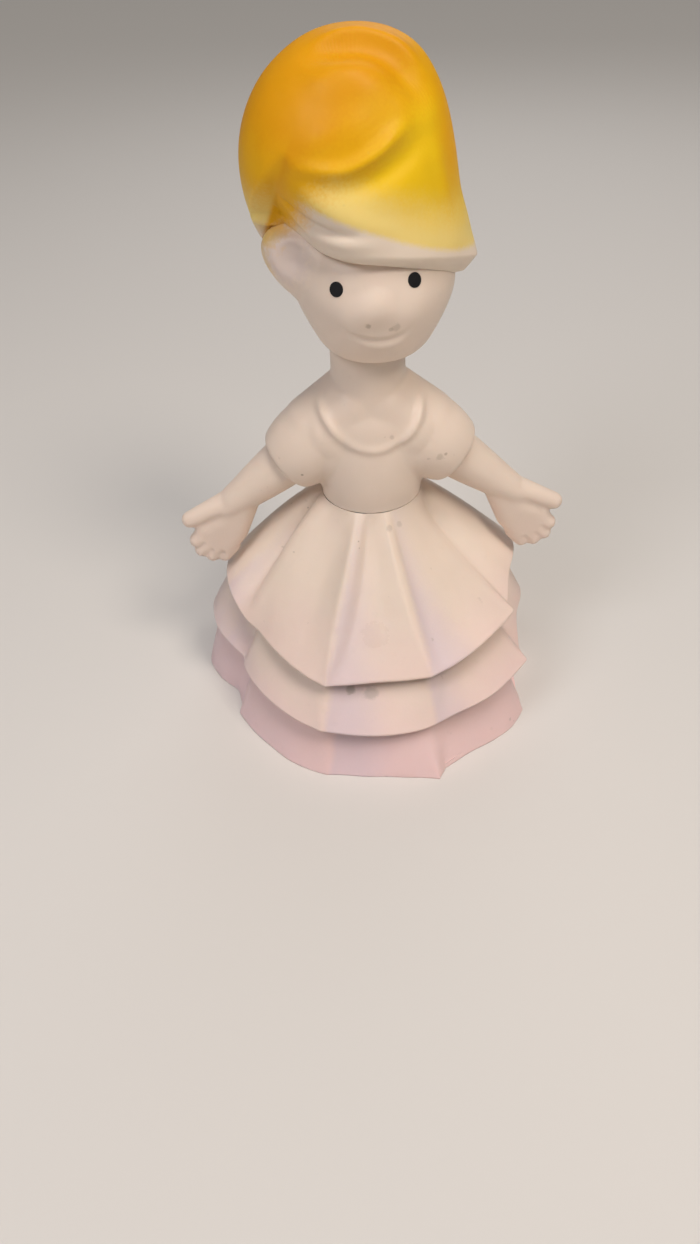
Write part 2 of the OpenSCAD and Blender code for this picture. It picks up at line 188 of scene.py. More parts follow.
def makeGroup(name, inputs, outputs):
    # a shader node group with its named sockets
    group = bpy.data.node_groups.new(name, "ShaderNodeTree")
    for label, kind, value in inputs:
        socket = group.interface.new_socket(label, in_out="INPUT", socket_type=kind)
        socket.default_value = value
    for label, kind in outputs:
        group.interface.new_socket(label, in_out="OUTPUT", socket_type=kind)
    return group, group.nodes.new("NodeGroupInput"), group.nodes.new("NodeGroupOutput")


def addNode(tree, kind, inputs=(), **settings):
    # inputs take a value or another node's socket
    node = tree.nodes.new(kind)
    for key, value in settings.items():
        setattr(node, key, value)
    for key, value in dict(inputs).items():
        if isinstance(value, bpy.types.NodeSocket):
            tree.links.new(value, node.inputs[key])
        else:
            node.inputs[key].default_value = value
    return node


def math2(tree, operation, a, b, clamp=False):
    return addNode(tree, "ShaderNodeMath", {0: a, 1: b}, operation=operation, use_clamp=clamp).outputs[0]


def blendColors(tree, factor, a, b):
    # sockets 0, 6, 7 and output 2 are the factor, the two colours and the mixed one
    node = addNode(tree, "ShaderNodeMix", {0: factor, 6: a, 7: b}, data_type="RGBA", clamp_factor=True)
    return node.outputs[2]


def noiseAt(tree, where, scale, detail=2.0, rough=0.5):
    return addNode(tree, "ShaderNodeTexNoise",
                   {"Vector": where, "Scale": scale, "Detail": detail, "Roughness": rough}).outputs["Fac"]


def spread(tree, value, low, high):
    # 0 below low, 1 above high, smooth between
    node = addNode(tree, "ShaderNodeMapRange", {0: value, 1: low, 2: high}, interpolation_type="SMOOTHSTEP")
    return node.outputs[0]


# how fine each grain is, per metre
grain = dict(clouds=60, haze=240, specks=420, patches=70, peel=1900, waves=170,
             puffs=85, droplets=1500, smudges=700)


def makeVinylGroup():
    # soft vinyl: cloudy colour, a faint orange-peel skin and handling marks
    group, gin, gout = makeGroup(
        "mouldedVinyl",
        [("Color", "NodeSocketColor", (0.8, 0.8, 0.8, 1)),
         ("Dirt Color", "NodeSocketColor", (0.3, 0.24, 0.18, 1)),
         ("Clouding", "NodeSocketFloat", 0.05), ("Dirt", "NodeSocketFloat", 0.3),
         ("Sheen Level", "NodeSocketFloat", 0.42), ("Skin", "NodeSocketFloat", 0.25)],
        [("Color", "NodeSocketColor"), ("Roughness", "NodeSocketFloat"), ("Normal", "NodeSocketVector")])
    where = addNode(group, "ShaderNodeTexCoord").outputs["Object"]
    clouds = noiseAt(group, where, grain["clouds"], 3)
    haze = noiseAt(group, where, grain["haze"], 4, 0.6)
    shift = math2(group, "MULTIPLY", math2(group, "SUBTRACT", clouds, 0.5), gin.outputs["Clouding"])
    bright = addNode(group, "ShaderNodeHueSaturation",
                     {"Value": math2(group, "ADD", math2(group, "MULTIPLY", shift, 2.0), 1.0),
                      "Color": gin.outputs["Color"]})
    specks = spread(group, noiseAt(group, where, grain["specks"], 2, 0.4), 0.70, 0.76)
    patches = spread(group, noiseAt(group, where, grain["patches"], 1), 0.55, 0.72)
    dirt = math2(group, "MULTIPLY", math2(group, "MULTIPLY", specks, patches), gin.outputs["Dirt"])
    film = math2(group, "MULTIPLY", spread(group, haze, 0.58, 0.8),
                 math2(group, "MULTIPLY", gin.outputs["Dirt"], 0.16))
    soiled = math2(group, "ADD", dirt, film, True)
    color = blendColors(group, soiled, bright.outputs[0], gin.outputs["Dirt Color"])
    rough = math2(group, "ADD", gin.outputs["Sheen Level"],
                  math2(group, "MULTIPLY", math2(group, "SUBTRACT", haze, 0.5), 0.22))
    peel = addNode(group, "ShaderNodeBump", {"Height": noiseAt(group, where, grain["peel"], 2),
                                             "Strength": gin.outputs["Skin"], "Distance": 0.00008})
    waves = addNode(group, "ShaderNodeBump", {"Height": noiseAt(group, where, grain["waves"], 1),
                                              "Strength": 0.35, "Distance": 0.0004,
                                              "Normal": peel.outputs[0]})
    group.links.new(color, gout.inputs["Color"])
    group.links.new(rough, gout.inputs["Roughness"])
    group.links.new(waves.outputs[0], gout.inputs["Normal"])
    return group


def makeMistGroup():
    # edge of a sprayed colour: how far a point lies past a plane, feathered by droplets
    group, gin, gout = makeGroup(
        "sprayMist",
        [("Toward", "NodeSocketVector", (0, 0, 1)), ("Start", "NodeSocketFloat", 0.0),
         ("End", "NodeSocketFloat", 0.01), ("Feather", "NodeSocketFloat", 0.003)],
        [("Mask", "NodeSocketFloat")])
    where = addNode(group, "ShaderNodeTexCoord").outputs["Object"]
    reach = addNode(group, "ShaderNodeVectorMath", {0: where, 1: gin.outputs["Toward"]},
                    operation="DOT_PRODUCT")
    puffs = math2(group, "SUBTRACT", noiseAt(group, where, grain["puffs"], 2), 0.5)
    fine = math2(group, "SUBTRACT", noiseAt(group, where, grain["droplets"], 1), 0.5)
    droplets = math2(group, "MULTIPLY", fine, 0.5)
    wobble = math2(group, "MULTIPLY", math2(group, "ADD", puffs, droplets), gin.outputs["Feather"])
    place = math2(group, "ADD", reach.outputs["Value"], wobble)
    span = addNode(group, "ShaderNodeMapRange", {0: place, 1: gin.outputs["Start"], 2: gin.outputs["End"]},
                   interpolation_type="SMOOTHSTEP")
    group.links.new(span.outputs[0], gout.inputs["Mask"])
    return group


def makeMarkOrShadeGroup():
    # one soft-edged patch round a point: a mark, an overspray, a painted shade or a rubbed spot
    group, gin, gout = makeGroup(
        "markOrPaintedShade",
        [("Centre", "NodeSocketVector", (0, 0, 0)), ("Radius", "NodeSocketFloat", 0.002),
         ("Strength", "NodeSocketFloat", 0.5)],
        [("Mask", "NodeSocketFloat")])
    where = addNode(group, "ShaderNodeTexCoord").outputs["Object"]
    away = addNode(group, "ShaderNodeVectorMath", {0: where, 1: gin.outputs["Centre"]}, operation="DISTANCE")
    smudges = noiseAt(group, where, grain["smudges"], 3, 0.7)
    ragged = math2(group, "ADD", math2(group, "MULTIPLY", smudges, 1.3), 0.3)
    size = math2(group, "MULTIPLY", gin.outputs["Radius"], ragged)
    outward = math2(group, "DIVIDE", away.outputs["Value"], size)
    inside = math2(group, "SUBTRACT", 1.0, spread(group, outward, 0.45, 1.0))
    group.links.new(math2(group, "MULTIPLY", inside, gin.outputs["Strength"]), gout.inputs["Mask"])
    return group


vinylGroup = makeVinylGroup()
mistGroup = makeMistGroup()
markOrShadeGroup = makeMarkOrShadeGroup()


def groupNode(tree, group, **values):
    # places a group in a material; an underscore stands for the space in a socket's name
    node = tree.nodes.new("ShaderNodeGroup")
    node.node_tree = group
    for key, value in values.items():
        socket = node.inputs[key.replace("_", " ")]
        if isinstance(value, bpy.types.NodeSocket):
            tree.links.new(value, socket)
        else:
            socket.default_value = value
    return node


def mist(tree, toward, start, end, feather=0.004):
    node = groupNode(tree, mistGroup, Toward=toward, Start=start, End=end, Feather=feather)
    return node.outputs["Mask"]


def newMaterial(name, viewColor):
    material = bpy.data.materials.new(name)
    material.use_nodes = True
    material.diffuse_color = (*viewColor, 1)
    return material, material.node_tree, material.node_tree.nodes["Principled BSDF"]


def finishVinyl(tree, shader, color, look):
    # joins the vinyl group to the shader
    vinyl = groupNode(tree, vinylGroup, Color=color, Clouding=look["clouding"], Dirt=look["dirt"],
                      Sheen_Level=look["rough"], Skin=look["skin"])
    tree.links.new(vinyl.outputs["Color"], shader.inputs["Base Color"])
    tree.links.new(vinyl.outputs["Roughness"], shader.inputs["Roughness"])
    tree.links.new(vinyl.outputs["Normal"], shader.inputs["Normal"])
    shader.inputs["Specular IOR Level"].default_value = look["specular"]
    shader.inputs["Subsurface Weight"].default_value = look["glow"]
    shader.inputs["Subsurface Radius"].default_value = look["glowDepth"]
    shader.inputs["Subsurface Scale"].default_value = look["glowScale"]


vinylLook = dict(clouding=0.06, dirt=0.35, rough=0.43, skin=0.25, specular=0.42, glow=0.12,
                 glowDepth=(0.004, 0.0022, 0.0014), glowScale=0.5)
creamLook = dict(coolStart=75, coolEnd=45, cool=0.16, mark=(0.42, 0.33, 0.25, 1))     # heights in mm
creamColor = (0.80, 0.665, 0.56, 1)
pinkColor = (0.80, 0.58, 0.55, 1)
roseColor = (0.90, 0.64, 0.64, 1)
# lilac is painted shade on the skirt
shadeLilac = (0.66, 0.55, 0.62, 1)


def addMarks(tree, color, marks, markColor):
    # marks are a centre and radius in mm, and a strength
    for centre, radius, strength in marks:
        mask = groupNode(tree, markOrShadeGroup, Centre=[c * mm for c in centre], Radius=radius * mm,
                         Strength=strength).outputs["Mask"]
        color = blendColors(tree, mask, color, markColor)
    return color


def makeCreamMaterial(name, marks=(), tintsAndShade=()):
    # warm white, a little pinker towards the hands; tints are soft patches of another colour, some of them
    # painted shade
    material, tree, shader = newMaterial(name, creamColor[:3])
    cool = mist(tree, (0, 0, -1), -creamLook["coolStart"] * mm, -creamLook["coolEnd"] * mm)
    color = blendColors(tree, math2(tree, "MULTIPLY", cool, creamLook["cool"]), creamColor, pinkColor)
    # patches of overspray, and patches of painted shade
    for where, tint in tintsAndShade:
        color = addMarks(tree, color, where, tint)
    color = addMarks(tree, color, marks, creamLook["mark"])
    finishVinyl(tree, shader, color, vinylLook)
    return material


skirt = dict(
    waistRadius=13.0, turns=600, stepsDown=56, rim=1.1, tuck=9.0, nest=2.2, softFolds=1.6,
    # the folds of each tier: angle at the hem (front is -90), angle at the waist, 1 for a crease,
    # hem radius, hem height, flare (below 1 is domed, above 1 is a trumpet)
    upper=[
        (-164, -175, 0, 39.9, 35.8, 1.32), (-157, -168, 1, 38.8, 34.2, 0.74),
        (-149, -155, 0, 37.6, 33.6, 0.86), (-136, -140, 0, 38.4, 33.0, 1.20),
        (-126, -126, 0, 39.6, 32.4, 1.32), (-118, -115, 0, 40.8, 31.9, 1.14),
        (-111, -105, 1, 41.9, 31.4, 0.80), (-105, -98, 0, 40.4, 31.6, 1.38),
        (-92, -90, 0, 39.2, 32.2, 1.34), (-80, -81, 0, 40.2, 32.8, 1.10), (-72, -76, 1, 41.4, 33.2, 0.98),
        (-66, -69, 0, 40.8, 33.6, 1.32), (-50, -48, 0, 40.4, 35.0, 1.52), (-40, -34, 0, 40.8, 36.2, 1.62),
        (-28, -16, 1, 42.0, 37.4, 1.66), (-25.5, -12, 0, 39.6, 38.0, 1.72), (-12, -2, 0, 38.2, 40.6, 1.10),
        (8, 10, 0, 40.6, 42.0, 0.86), (20, 22, 0, 40.4, 41.0, 0.92), (32, 31, 0, 38.6, 38.8, 1.20),
        (50, 50, 1, 42.2, 36.5, 0.84), (64, 62, 0, 40.0, 37.2, 1.15), (78, 76, 0, 41.0, 37.0, 0.98),
        (92, 92, 1, 43.0, 36.0, 0.80), (108, 107, 0, 40.2, 37.0, 1.15), (121, 120, 0, 41.0, 36.8, 0.95),
        (133, 133, 1, 42.6, 36.6, 0.80), (148, 147, 0, 40.2, 38.4, 1.10), (163, 160, 0, 41.6, 39.8, 0.82),
        (176, 172, 0, 42.0, 40.0, 0.74), (188, 182, 0, 41.2, 38.0, 0.86)],
    middle=[
        (-168, -172, 0, 43.0, 19.6, 1.3), (-162.5, -166, 0, 40.7, 18.0, 1.5),
        (-158, -162, 1, 41.6, 18.0, 0.8), (-149, -152, 0, 42.2, 18.0, 0.9),
        (-136, -138, 0, 42.9, 17.8, 1.05), (-123, -122, 0, 44.0, 17.5, 1.0),
        (-112, -110, 1, 45.2, 17.4, 0.9), (-104, -102, 0, 44.4, 17.2, 1.25),
        (-90, -90, 0, 44.2, 17.0, 1.15), (-79, -80, 0, 44.2, 17.1, 1.0), (-72, -74, 1, 44.0, 17.5, 0.9),
        (-64, -66, 0, 43.4, 18.0, 1.2), (-47, -48, 0, 45.0, 19.0, 1.2), (-38, -36, 0, 45.8, 20.0, 1.2),
        (-28.5, -24, 1, 47.2, 21.2, 1.15), (-24, -18, 0, 43.6, 22.0, 1.4), (-10, -6, 0, 41.4, 24.2, 1.1),
        (8, 10, 0, 44.2, 24.0, 0.85), (22, 22, 0, 44.0, 22.4, 0.95), (34, 33, 0, 42.3, 20.0, 1.15),
        (50, 50, 1, 46.2, 18.0, 0.85), (66, 66, 0, 43.6, 19.0, 1.1), (80, 80, 0, 44.8, 18.6, 0.95),
        (92, 92, 1, 46.8, 18.0, 0.85), (108, 108, 0, 43.8, 19.2, 1.1), (121, 121, 0, 45.0, 19.0, 0.95),
        (133, 133, 1, 47.0, 18.8, 0.85), (148, 147, 0, 44.8, 21.0, 1.05), (160, 158, 0, 47.4, 24.0, 0.85),
        (172, 168, 0, 48.4, 24.0, 0.75), (182, 178, 0, 47.0, 22.0, 0.9)],
    lower=[
        (-168, -172, 0, 43.2, 0, 1.2), (-163, -167, 0, 43.4, 0, 1.4), (-157.5, -160, 1, 45.2, 0, 0.8),
        (-149, -150, 0, 44.8, 0, 0.9), (-137, -138, 0, 44.6, 0, 1.0), (-124, -124, 0, 45.4, 0, 1.0),
        (-111, -111, 1, 45.5, 0, 0.85), (-103, -103, 0, 44.3, 0, 1.2), (-92, -92, 0, 44.2, 0, 1.1),
        (-80, -81, 0, 45.8, 0, 1.0), (-72, -74, 1, 48.5, 0, 1.0), (-68.5, -70, 1, 45.7, 0, 1.2),
        (-57, -58, 0, 44.5, 0, 1.15), (-44, -44, 0, 46.2, 0, 1.1), (-36, -36, 0, 47.3, 0, 1.05),
        (-27.7, -26, 1, 47.4, 0, 1.0), (-22, -20, 0, 45.0, 0, 1.2), (-12, -10, 0, 41.8, 0, 1.1),
        (8, 9, 0, 45.2, 0, 0.9), (22, 22, 0, 45.0, 0, 0.95), (34, 33, 0, 43.6, 0, 1.1),
        (50, 50, 1, 48.0, 0, 0.9), (66, 66, 0, 45.4, 0, 1.05), (80, 80, 0, 46.6, 0, 0.95),
        (92, 92, 1, 48.6, 0, 0.9), (108, 108, 0, 45.6, 0, 1.05), (121, 121, 0, 47.0, 0, 0.95),
        (133, 133, 1, 49.6, 0, 0.9), (147, 147, 0, 48.8, 0, 1.0), (160, 158, 0, 53.6, 0, 0.85),
        (172, 168, 0, 52.6, 0, 0.8), (182, 178, 0, 48.4, 0, 0.95)],
)


def foldTable(tier, angles):
    # waist angle, hem radius, hem height and flare at each angle: smooth, but bent at a crease
    table = np.array(skirt[tier], float)
    before, after = table[-3:].copy(), table[:3].copy()
    before[:, :2] -= 360
    after[:, :2] += 360
    table = np.vstack([before, table, after])
    xs, crease = table[:, 0], table[:, 2]
    rows = table[:, [1, 3, 4, 5]]
    secant = np.diff(rows, axis=0) / np.diff(xs)[:, None]
    left, right = np.vstack([secant[:1], secant]), np.vstack([secant, secant[-1:]])
    level = np.where(left * right > 0, 2 * left * right / np.where(left * right > 0, left + right, 1), 0)
    slopeIn = np.where(crease[:, None] > 0, left * 1.5, level)
    slopeOut = np.where(crease[:, None] > 0, right * 1.5, level)
    i = np.clip(np.searchsorted(xs, angles, side="right") - 1, 0, len(xs) - 2)
    h = (xs[i + 1] - xs[i])[:, None]
    t = (angles - xs[i])[:, None] / h
    return ((2 * t ** 3 - 3 * t ** 2 + 1) * rows[i] + (t ** 3 - 2 * t ** 2 + t) * h * slopeOut[i]
            + (3 * t ** 2 - 2 * t ** 3) * rows[i + 1] + (t ** 3 - t ** 2) * h * slopeIn[i + 1]).T


def skirtAngles():
    return np.linspace(-180, 180, skirt["turns"], endpoint=False)


def softenRound(values, spreadAngle):
    # evens out what changes round the skirt, over a few degrees each way
    steps = int(4 * spreadAngle * skirt["turns"] / 360)
    if steps < 1:
        return values
    weights = np.exp(-0.5 * (4 * np.arange(-steps, steps + 1) / (2 * steps)) ** 2)
    around = [np.roll(values, k) * w for k, w in zip(range(-steps, steps + 1), weights)]
    return np.sum(around, axis=0) / weights.sum()


def tierSurface(tier, top=None, under=None):
    # rings of a tier's outer face, from its top edge to its hem, kept inside the tier above
    angles = skirtAngles()
    waist, radius, height, flare = foldTable(tier, angles)
    r0, z0 = (skirt["waistRadius"], waistTop - 0.1) if top is None else top
    rings = []
    for t in np.linspace(0, 1, skirt["stepsDown"] + 1):
        z = z0 + (height - z0) * t
        r = softenRound(r0 + (radius - r0) * t ** flare, skirt["softFolds"] * (1 - t ** 4))
        turn = np.radians(angles + (waist - angles) * (1 - t if top is None else 0))
        if under is not None:
            room = np.array([topInside(under, i, z[i]) for i in range(len(angles))])
            r = np.where(z > under[-1][:, 2] - 0.5, np.minimum(r, room), r)
        rings.append(np.stack([r * np.cos(turn), r * np.sin(turn), z], 1))
    return np.array(rings)


def topInside(rings, i, height):
    # radius of a surface at a height, less room for its wall
    r = np.hypot(rings[:, i, 0], rings[:, i, 1])
    return np.interp(-height, -rings[:, i, 2], r) - skirt["nest"]


def topOf(rings):
    # where the next tier starts, inside this one
    height = rings[-1][:, 2] + skirt["tuck"]
    return np.array([topInside(rings, i, height[i]) for i in range(len(height))]), height


def makeTier(name, rings):
    # outer face, round rim and inner face as one closed skin
    thick = skirt["rim"]
    flat = np.stack([rings[:, :, 0], rings[:, :, 1]], 2)
    inward = -flat / np.linalg.norm(flat, axis=2)[:, :, None]
    down = np.gradient(rings, axis=0)
    down /= np.linalg.norm(down, axis=2)[:, :, None]
    into = np.concatenate([inward, np.zeros_like(inward[:, :, :1])], 2)
    into -= down * (into * down).sum(2)[:, :, None]
    into /= np.linalg.norm(into, axis=2)[:, :, None]
    skin = list(rings[:-1])
    last, lastIn, lastDown = rings[-1], into[-1], down[-1]
    half = thick / 2
    for a in np.linspace(0, math.pi, 7):
        skin.append(last + lastIn * half * (1 - math.cos(a)) + lastDown * half * (math.sin(a) - 1))
    inner = rings + into * thick
    skin += list(inner[-2::-1])
    skin = np.array(skin)
    skin[:, :, 2] = np.maximum(skin[:, :, 2], 0.0)
    return loft(name, skin, closeRows=True)


skirtSprayAndShade = dict(
    downFeather=0.014, leftShadeShare=0.8, rubbed=0.8, rubbedRough=0.16,
    # direction, start, end and feather, in metres; the left one is lilac painted shade
    right=((0.75, -0.2, -0.62), -0.002, 0.030, 0.012), left=((-0.8, 0.1, -0.55), 0.004, 0.034, 0.012),
)


def makeTierMaterial(name, look):
    # cream at the top, sprayed pink down to the hem and pink to the right, with lilac painted shade on the
    # left side and on the shaded facets
    spray = skirtSprayAndShade
    material, tree, shader = newMaterial(name, look["hem"][:3])
    down = mist(tree, (0, 0, -1), -look["start"] * mm, -look["end"] * mm, spray["downFeather"])
    right, left = mist(tree, *spray["right"]), mist(tree, *spray["left"])
    leftShadeWeight = look["side"] * spray["leftShadeShare"]
    color = blendColors(tree, math2(tree, "MULTIPLY", down, look["weight"]), look["top"], look["hem"])
    color = blendColors(tree, math2(tree, "MULTIPLY", right, look["side"]), color, pinkColor)
    # lilac painted shade on the left side
    color = blendColors(tree, math2(tree, "MULTIPLY", left, leftShadeWeight), color, shadeLilac)
    for start, end, weight in look["shadedFacets"]:
        # a turn of the skirt between two angles, greyed with lilac: painted shade on the facets and fold
        # valleys that face away from the light
        a, b = math.radians(start), math.radians(end)
        past = mist(tree, (-math.sin(a), math.cos(a), 0), 0.0, 0.0025, 0.002)
        before = mist(tree, (math.sin(b), -math.cos(b), 0), 0.0, 0.012, 0.004)
        both = math2(tree, "MULTIPLY", math2(tree, "MULTIPLY", past, before), weight)
        color = blendColors(tree, both, color, shadeLilac)
    color = addMarks(tree, color, look["marks"], look["markColor"])
    finishVinyl(tree, shader, color, vinylLook)
    for centre, radius in look.get("rubs", []):
        # a patch rubbed glossy
        rub = groupNode(tree, markOrShadeGroup, Centre=[c * mm for c in centre], Radius=radius * mm,
                        Strength=spray["rubbed"])
        dull = shader.inputs["Roughness"].links[0].from_socket
        kept = math2(tree, "SUBTRACT", 1.0, rub.outputs["Mask"])
        gloss = math2(tree, "MULTIPLY", rub.outputs["Mask"], spray["rubbedRough"])
        rough = math2(tree, "ADD", math2(tree, "MULTIPLY", dull, kept), gloss)
        tree.links.new(rough, shader.inputs["Roughness"])
    return material


upperRings = tierSurface("upper")
middleRings = tierSurface("middle", topOf(upperRings), upperRings)
lowerRings = tierSurface("lower", topOf(middleRings), middleRings)
print("skirt surfaces ready")

# start and end are the heights where the spray begins and is full; the shaded facets are two angles and the
# weight of their painted lilac shade; marks and rubs are places in mm
tierLooks = [
    dict(name="upperTier", node="skirt_upper_tier", slot="vinyl_cream", rings=upperRings, top=creamColor,
         hem=pinkColor, start=52, end=30, weight=0.45, side=0.5,
         shadedFacets=[(-176, -158, 0.45), (-112, -86, 0.50), (-73, -48, 0.60)], markColor=(0.40, 0.32, 0.26, 1),
         marks=[((-4.3, -16.2, 62.5), 0.35, 0.7), ((-4.25, -16.9, 61.0), 0.35, 0.7),
                ((-4.2, -17.6, 59.4), 0.3, 0.6), ((3.9, -15.1, 63.4), 1.3, 0.35),
                ((6.6, -12.9, 62.9), 1.1, 0.3), ((-17.1, -1.7, 61.6), 0.45, 0.8),
                ((2.6, -25.4, 49.2), 0.4, 0.6)],
         rubs=[((-1.2, -30.9, 41.3), 5.5)]),
    dict(name="middleTier", node="skirt_middle_tier", slot="vinyl_pink", rings=middleRings, top=creamColor,
         hem=roseColor, start=36, end=14, weight=0.5, side=0.55,
         shadedFacets=[(-172, -158, 0.40), (-112, -86, 0.60), (-73, -52, 0.50)], markColor=(0.34, 0.30, 0.26, 1),
         marks=[((-8.2, -36.1, 26.9), 1.7, 0.6), ((-3.0, -37.2, 26.5), 2.6, 0.4),
                ((-5.0, -37.0, 27.5), 1.2, 0.3)]),
    dict(name="lowerTier", node="skirt_lower_tier", slot="vinyl_rose", rings=lowerRings, top=pinkColor,
         hem=roseColor, start=22, end=2, weight=0.7, side=0.4, shadedFacets=[(-111, -84, 0.50)],
         markColor=(0.36, 0.31, 0.27, 1), marks=[]),
]
for look in tierLooks:
    tier = makeTier(look["name"], look["rings"])
    shadeSmooth(tier, 70)
    tier.data.materials.append(makeTierMaterial(look["name"] + "Vinyl", look))
    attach(tier, "skirt")
    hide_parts(look["node"])
print("skirt tiers built")


def ballInto(bm, centre, radii):
    place = Matrix.Translation(Vector(centre)) @ Matrix.Diagonal((*radii, 1))
    bmesh.ops.create_uvsphere(bm, u_segments=48, v_segments=24, radius=1, matrix=place)


def spunInto(bm, outline, place, steps=72):
    # solid of revolution: outline is (radius, height) from foot to top, on the local Z axis
    around = np.arange(steps) * 2 * math.pi / steps
    rings = [[bm.verts.new((r * math.cos(a), r * math.sin(a), z)) for a in around] for r, z in outline]
    for low, high in zip(rings, rings[1:]):
        for i in range(steps):
            bm.faces.new((low[i], low[(i + 1) % steps], high[(i + 1) % steps], high[i]))
    bm.faces.new(list(reversed(rings[0])))
    bm.faces.new(rings[-1])
    bmesh.ops.transform(bm, matrix=place, verts=[v for ring in rings for v in ring])


def limbInto(bm, start, end, startRadius, endRadius, flatten=1.0, steps=14):
    # round-ended taper between two points; flatten narrows it across Y
    start, end = Vector(start), Vector(end)
    along = end - start
    turn = along.to_track_quat("Z", "Y").to_matrix().to_4x4()
    outline = []
    for radius, foot, low in ((startRadius, 0, -90), (endRadius, along.length, 0)):
        for a in np.linspace(low, low + 90, steps):
            outline.append((max(0.02, radius * math.cos(math.radians(a))),
                            foot + radius * math.sin(math.radians(a))))
    narrow = Matrix.Diagonal((1, flatten, 1, 1))
    spunInto(bm, outline, narrow @ Matrix.Translation(start) @ turn, 40)


def meshFrom(name, bm):
    mesh = bpy.data.meshes.new(name)
    bmesh.ops.scale(bm, vec=(mm, mm, mm), verts=bm.verts)
    bm.to_mesh(mesh)
    bm.free()
    piece = bpy.data.objects.new(name, mesh)
    scene.collection.objects.link(piece)
    return piece


def cast(name, solids, voxel, soften):
    # fuses the solids into one skin and softens it
    piece = meshFrom(name, solids)
    modify(piece, "REMESH", mode="VOXEL", voxel_size=voxel * mm)
    modify(piece, "SMOOTH", factor=0.5, iterations=soften)
    return piece


armJoint = joints["right_arm_turn"]
armAxis = Vector(armJoint["axis"])
armRoot = Vector(armJoint["pos_m"]) / mm
armTurn = Matrix.Rotation(math.atan2(-armAxis.z, armAxis.x), 4, "Y")     # local X runs out along the arm
mirrorX = Matrix.Diagonal((-1, 1, 1, 1))
alongArm = Matrix.Translation(armRoot) @ armTurn

bodice = dict(
    neck=9.0, height=40.4, voxel=0.4, soften=30, fade=0.16,
    # radius and height above the lower edge
    outline=[(12.9, 0), (13.0, 1.0), (13.3, 2.6), (13.6, 6), (13.7, 10), (13.5, 14), (13.0, 17.5),
             (12.1, 21), (10.9, 24.2), (9.9, 27), (9.3, 29.2), (9.05, 32)],
    # fillings between neck and sleeves: two ends and their radii
    shoulders=[((3.5, 0.3, 92.5), (12.5, 0, 84.0), 8.8, 10.0),
               ((3.0, -1.6, 90.5), (9.5, -1.6, 85.0), 9.2, 9.6),
               ((4.0, -0.8, 83.0), (11.5, -0.2, 80.5), 11.0, 10.0)],
    chest=((0, -0.8, 86.5), (13.8, 12.0, 9.8)),
    # the neckline's rolled edge, then a crease beside the left sleeve: points, height, width
    strokes=[([(-12.3, -2.3, 95.8), (-12.0, -6.0, 94.1), (-10.7, -9.0, 91.7), (-8.3, -11.2, 88.6),
               (-4.8, -12.7, 86.0), (0, -13.5, 85.0), (4.5, -12.9, 85.4), (8.2, -11.6, 87.0),
               (10.9, -9.8, 90.0), (12.2, -6.4, 93.2), (12.7, -3.0, 95.0)], 1.0, 1.2),
             ([(-10.8, -8.2, 92), (-11.4, -8.6, 86), (-11.9, -8.4, 80), (-12.2, -7.6, 74),
               (-12.2, -6.5, 69)], -0.5, 1.5)],
    marks=[((3.2, -12.6, 88.1), 0.5, 0.7), ((4.9, -12.2, 87.8), 0.9, 0.35), ((16.7, -10.2, 80.5), 1.3, 0.4),
           ((18.2, -9.9, 81.1), 0.6, 0.6), ((-17.5, -9.7, 77.1), 0.5, 0.9)],
)
sleeve = dict(radius=10.5, halfLength=17.0, back=10.0, mouth=6.85, depth=2.9, clear=6)


def sleeveOutline():
    # an egg cut off at its hem
    hem = math.degrees(math.acos(sleeve["back"] / sleeve["halfLength"]))
    return [(max(0.02, sleeve["radius"] * math.sin(math.radians(a))),
             -sleeve["back"] + sleeve["halfLength"] * math.cos(math.radians(a)))
            for a in np.linspace(180, hem, 28)]


def levelFoot(piece, height):
    # cuts off and closes everything below a height
    bm = bmesh.new()
    bm.from_mesh(piece.data)
    cut = bmesh.ops.bisect_plane(bm, geom=bm.verts[:] + bm.edges[:] + bm.faces[:],
                                 plane_co=(0, 0, height * mm), plane_no=(0, 0, -1), clear_outer=True)
    bmesh.ops.holes_fill(bm, edges=[e for e in cut["geom_cut"] if isinstance(e, bmesh.types.BMEdge)])
    bm.to_mesh(piece.data)
    bm.free()


def makeTorso():
    b = bodice
    solids, cutters = bmesh.new(), bmesh.new()
    outline = [(0.02, 0), *b["outline"], (b["neck"], b["height"] - 0.3), (b["neck"] - 0.4, b["height"]),
               (0.02, b["height"])]
    longer = [(r, z - 2) if z <= 0 else (r, z) for r, z in outline]      # levelFoot takes this off again
    spunInto(solids, longer, Matrix.Translation((0, 0, torsoFoot)))
    ballInto(solids, *b["chest"])
    toX = Matrix.Rotation(math.radians(90), 4, "Y")
    for side in (Matrix(), mirrorX):
        inSleeve = side @ alongArm @ toX
        spunInto(solids, sleeveOutline(), inSleeve)
        spunInto(cutters, [(sleeve["mouth"], -sleeve["depth"]), (sleeve["mouth"], sleeve["clear"])], inSleeve)
        for start, end, r0, r1 in b["shoulders"]:
            limbInto(solids, side @ Vector(start), side @ Vector(end), r0, r1)
    bmesh.ops.recalc_face_normals(solids, faces=solids.faces)
    bmesh.ops.recalc_face_normals(cutters, faces=cutters.faces)
    piece = cast("torso", solids, b["voxel"], b["soften"])
    for path, height, width in b["strokes"]:
        stroke(piece, path, height, width, b["fade"])
    tool = meshFrom("torsoTool", cutters)
    modify(piece, "BOOLEAN", object=tool, operation="DIFFERENCE", solver="EXACT")
    bpy.data.objects.remove(tool)
    levelFoot(piece, torsoFoot)
    return piece


torso = makeTorso()
shadeSmooth(torso, 80)
torso.data.materials.append(makeCreamMaterial("torsoVinyl", bodice["marks"]))
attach(torso, "torso")
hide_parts("torso_shell")
print("torso cast")

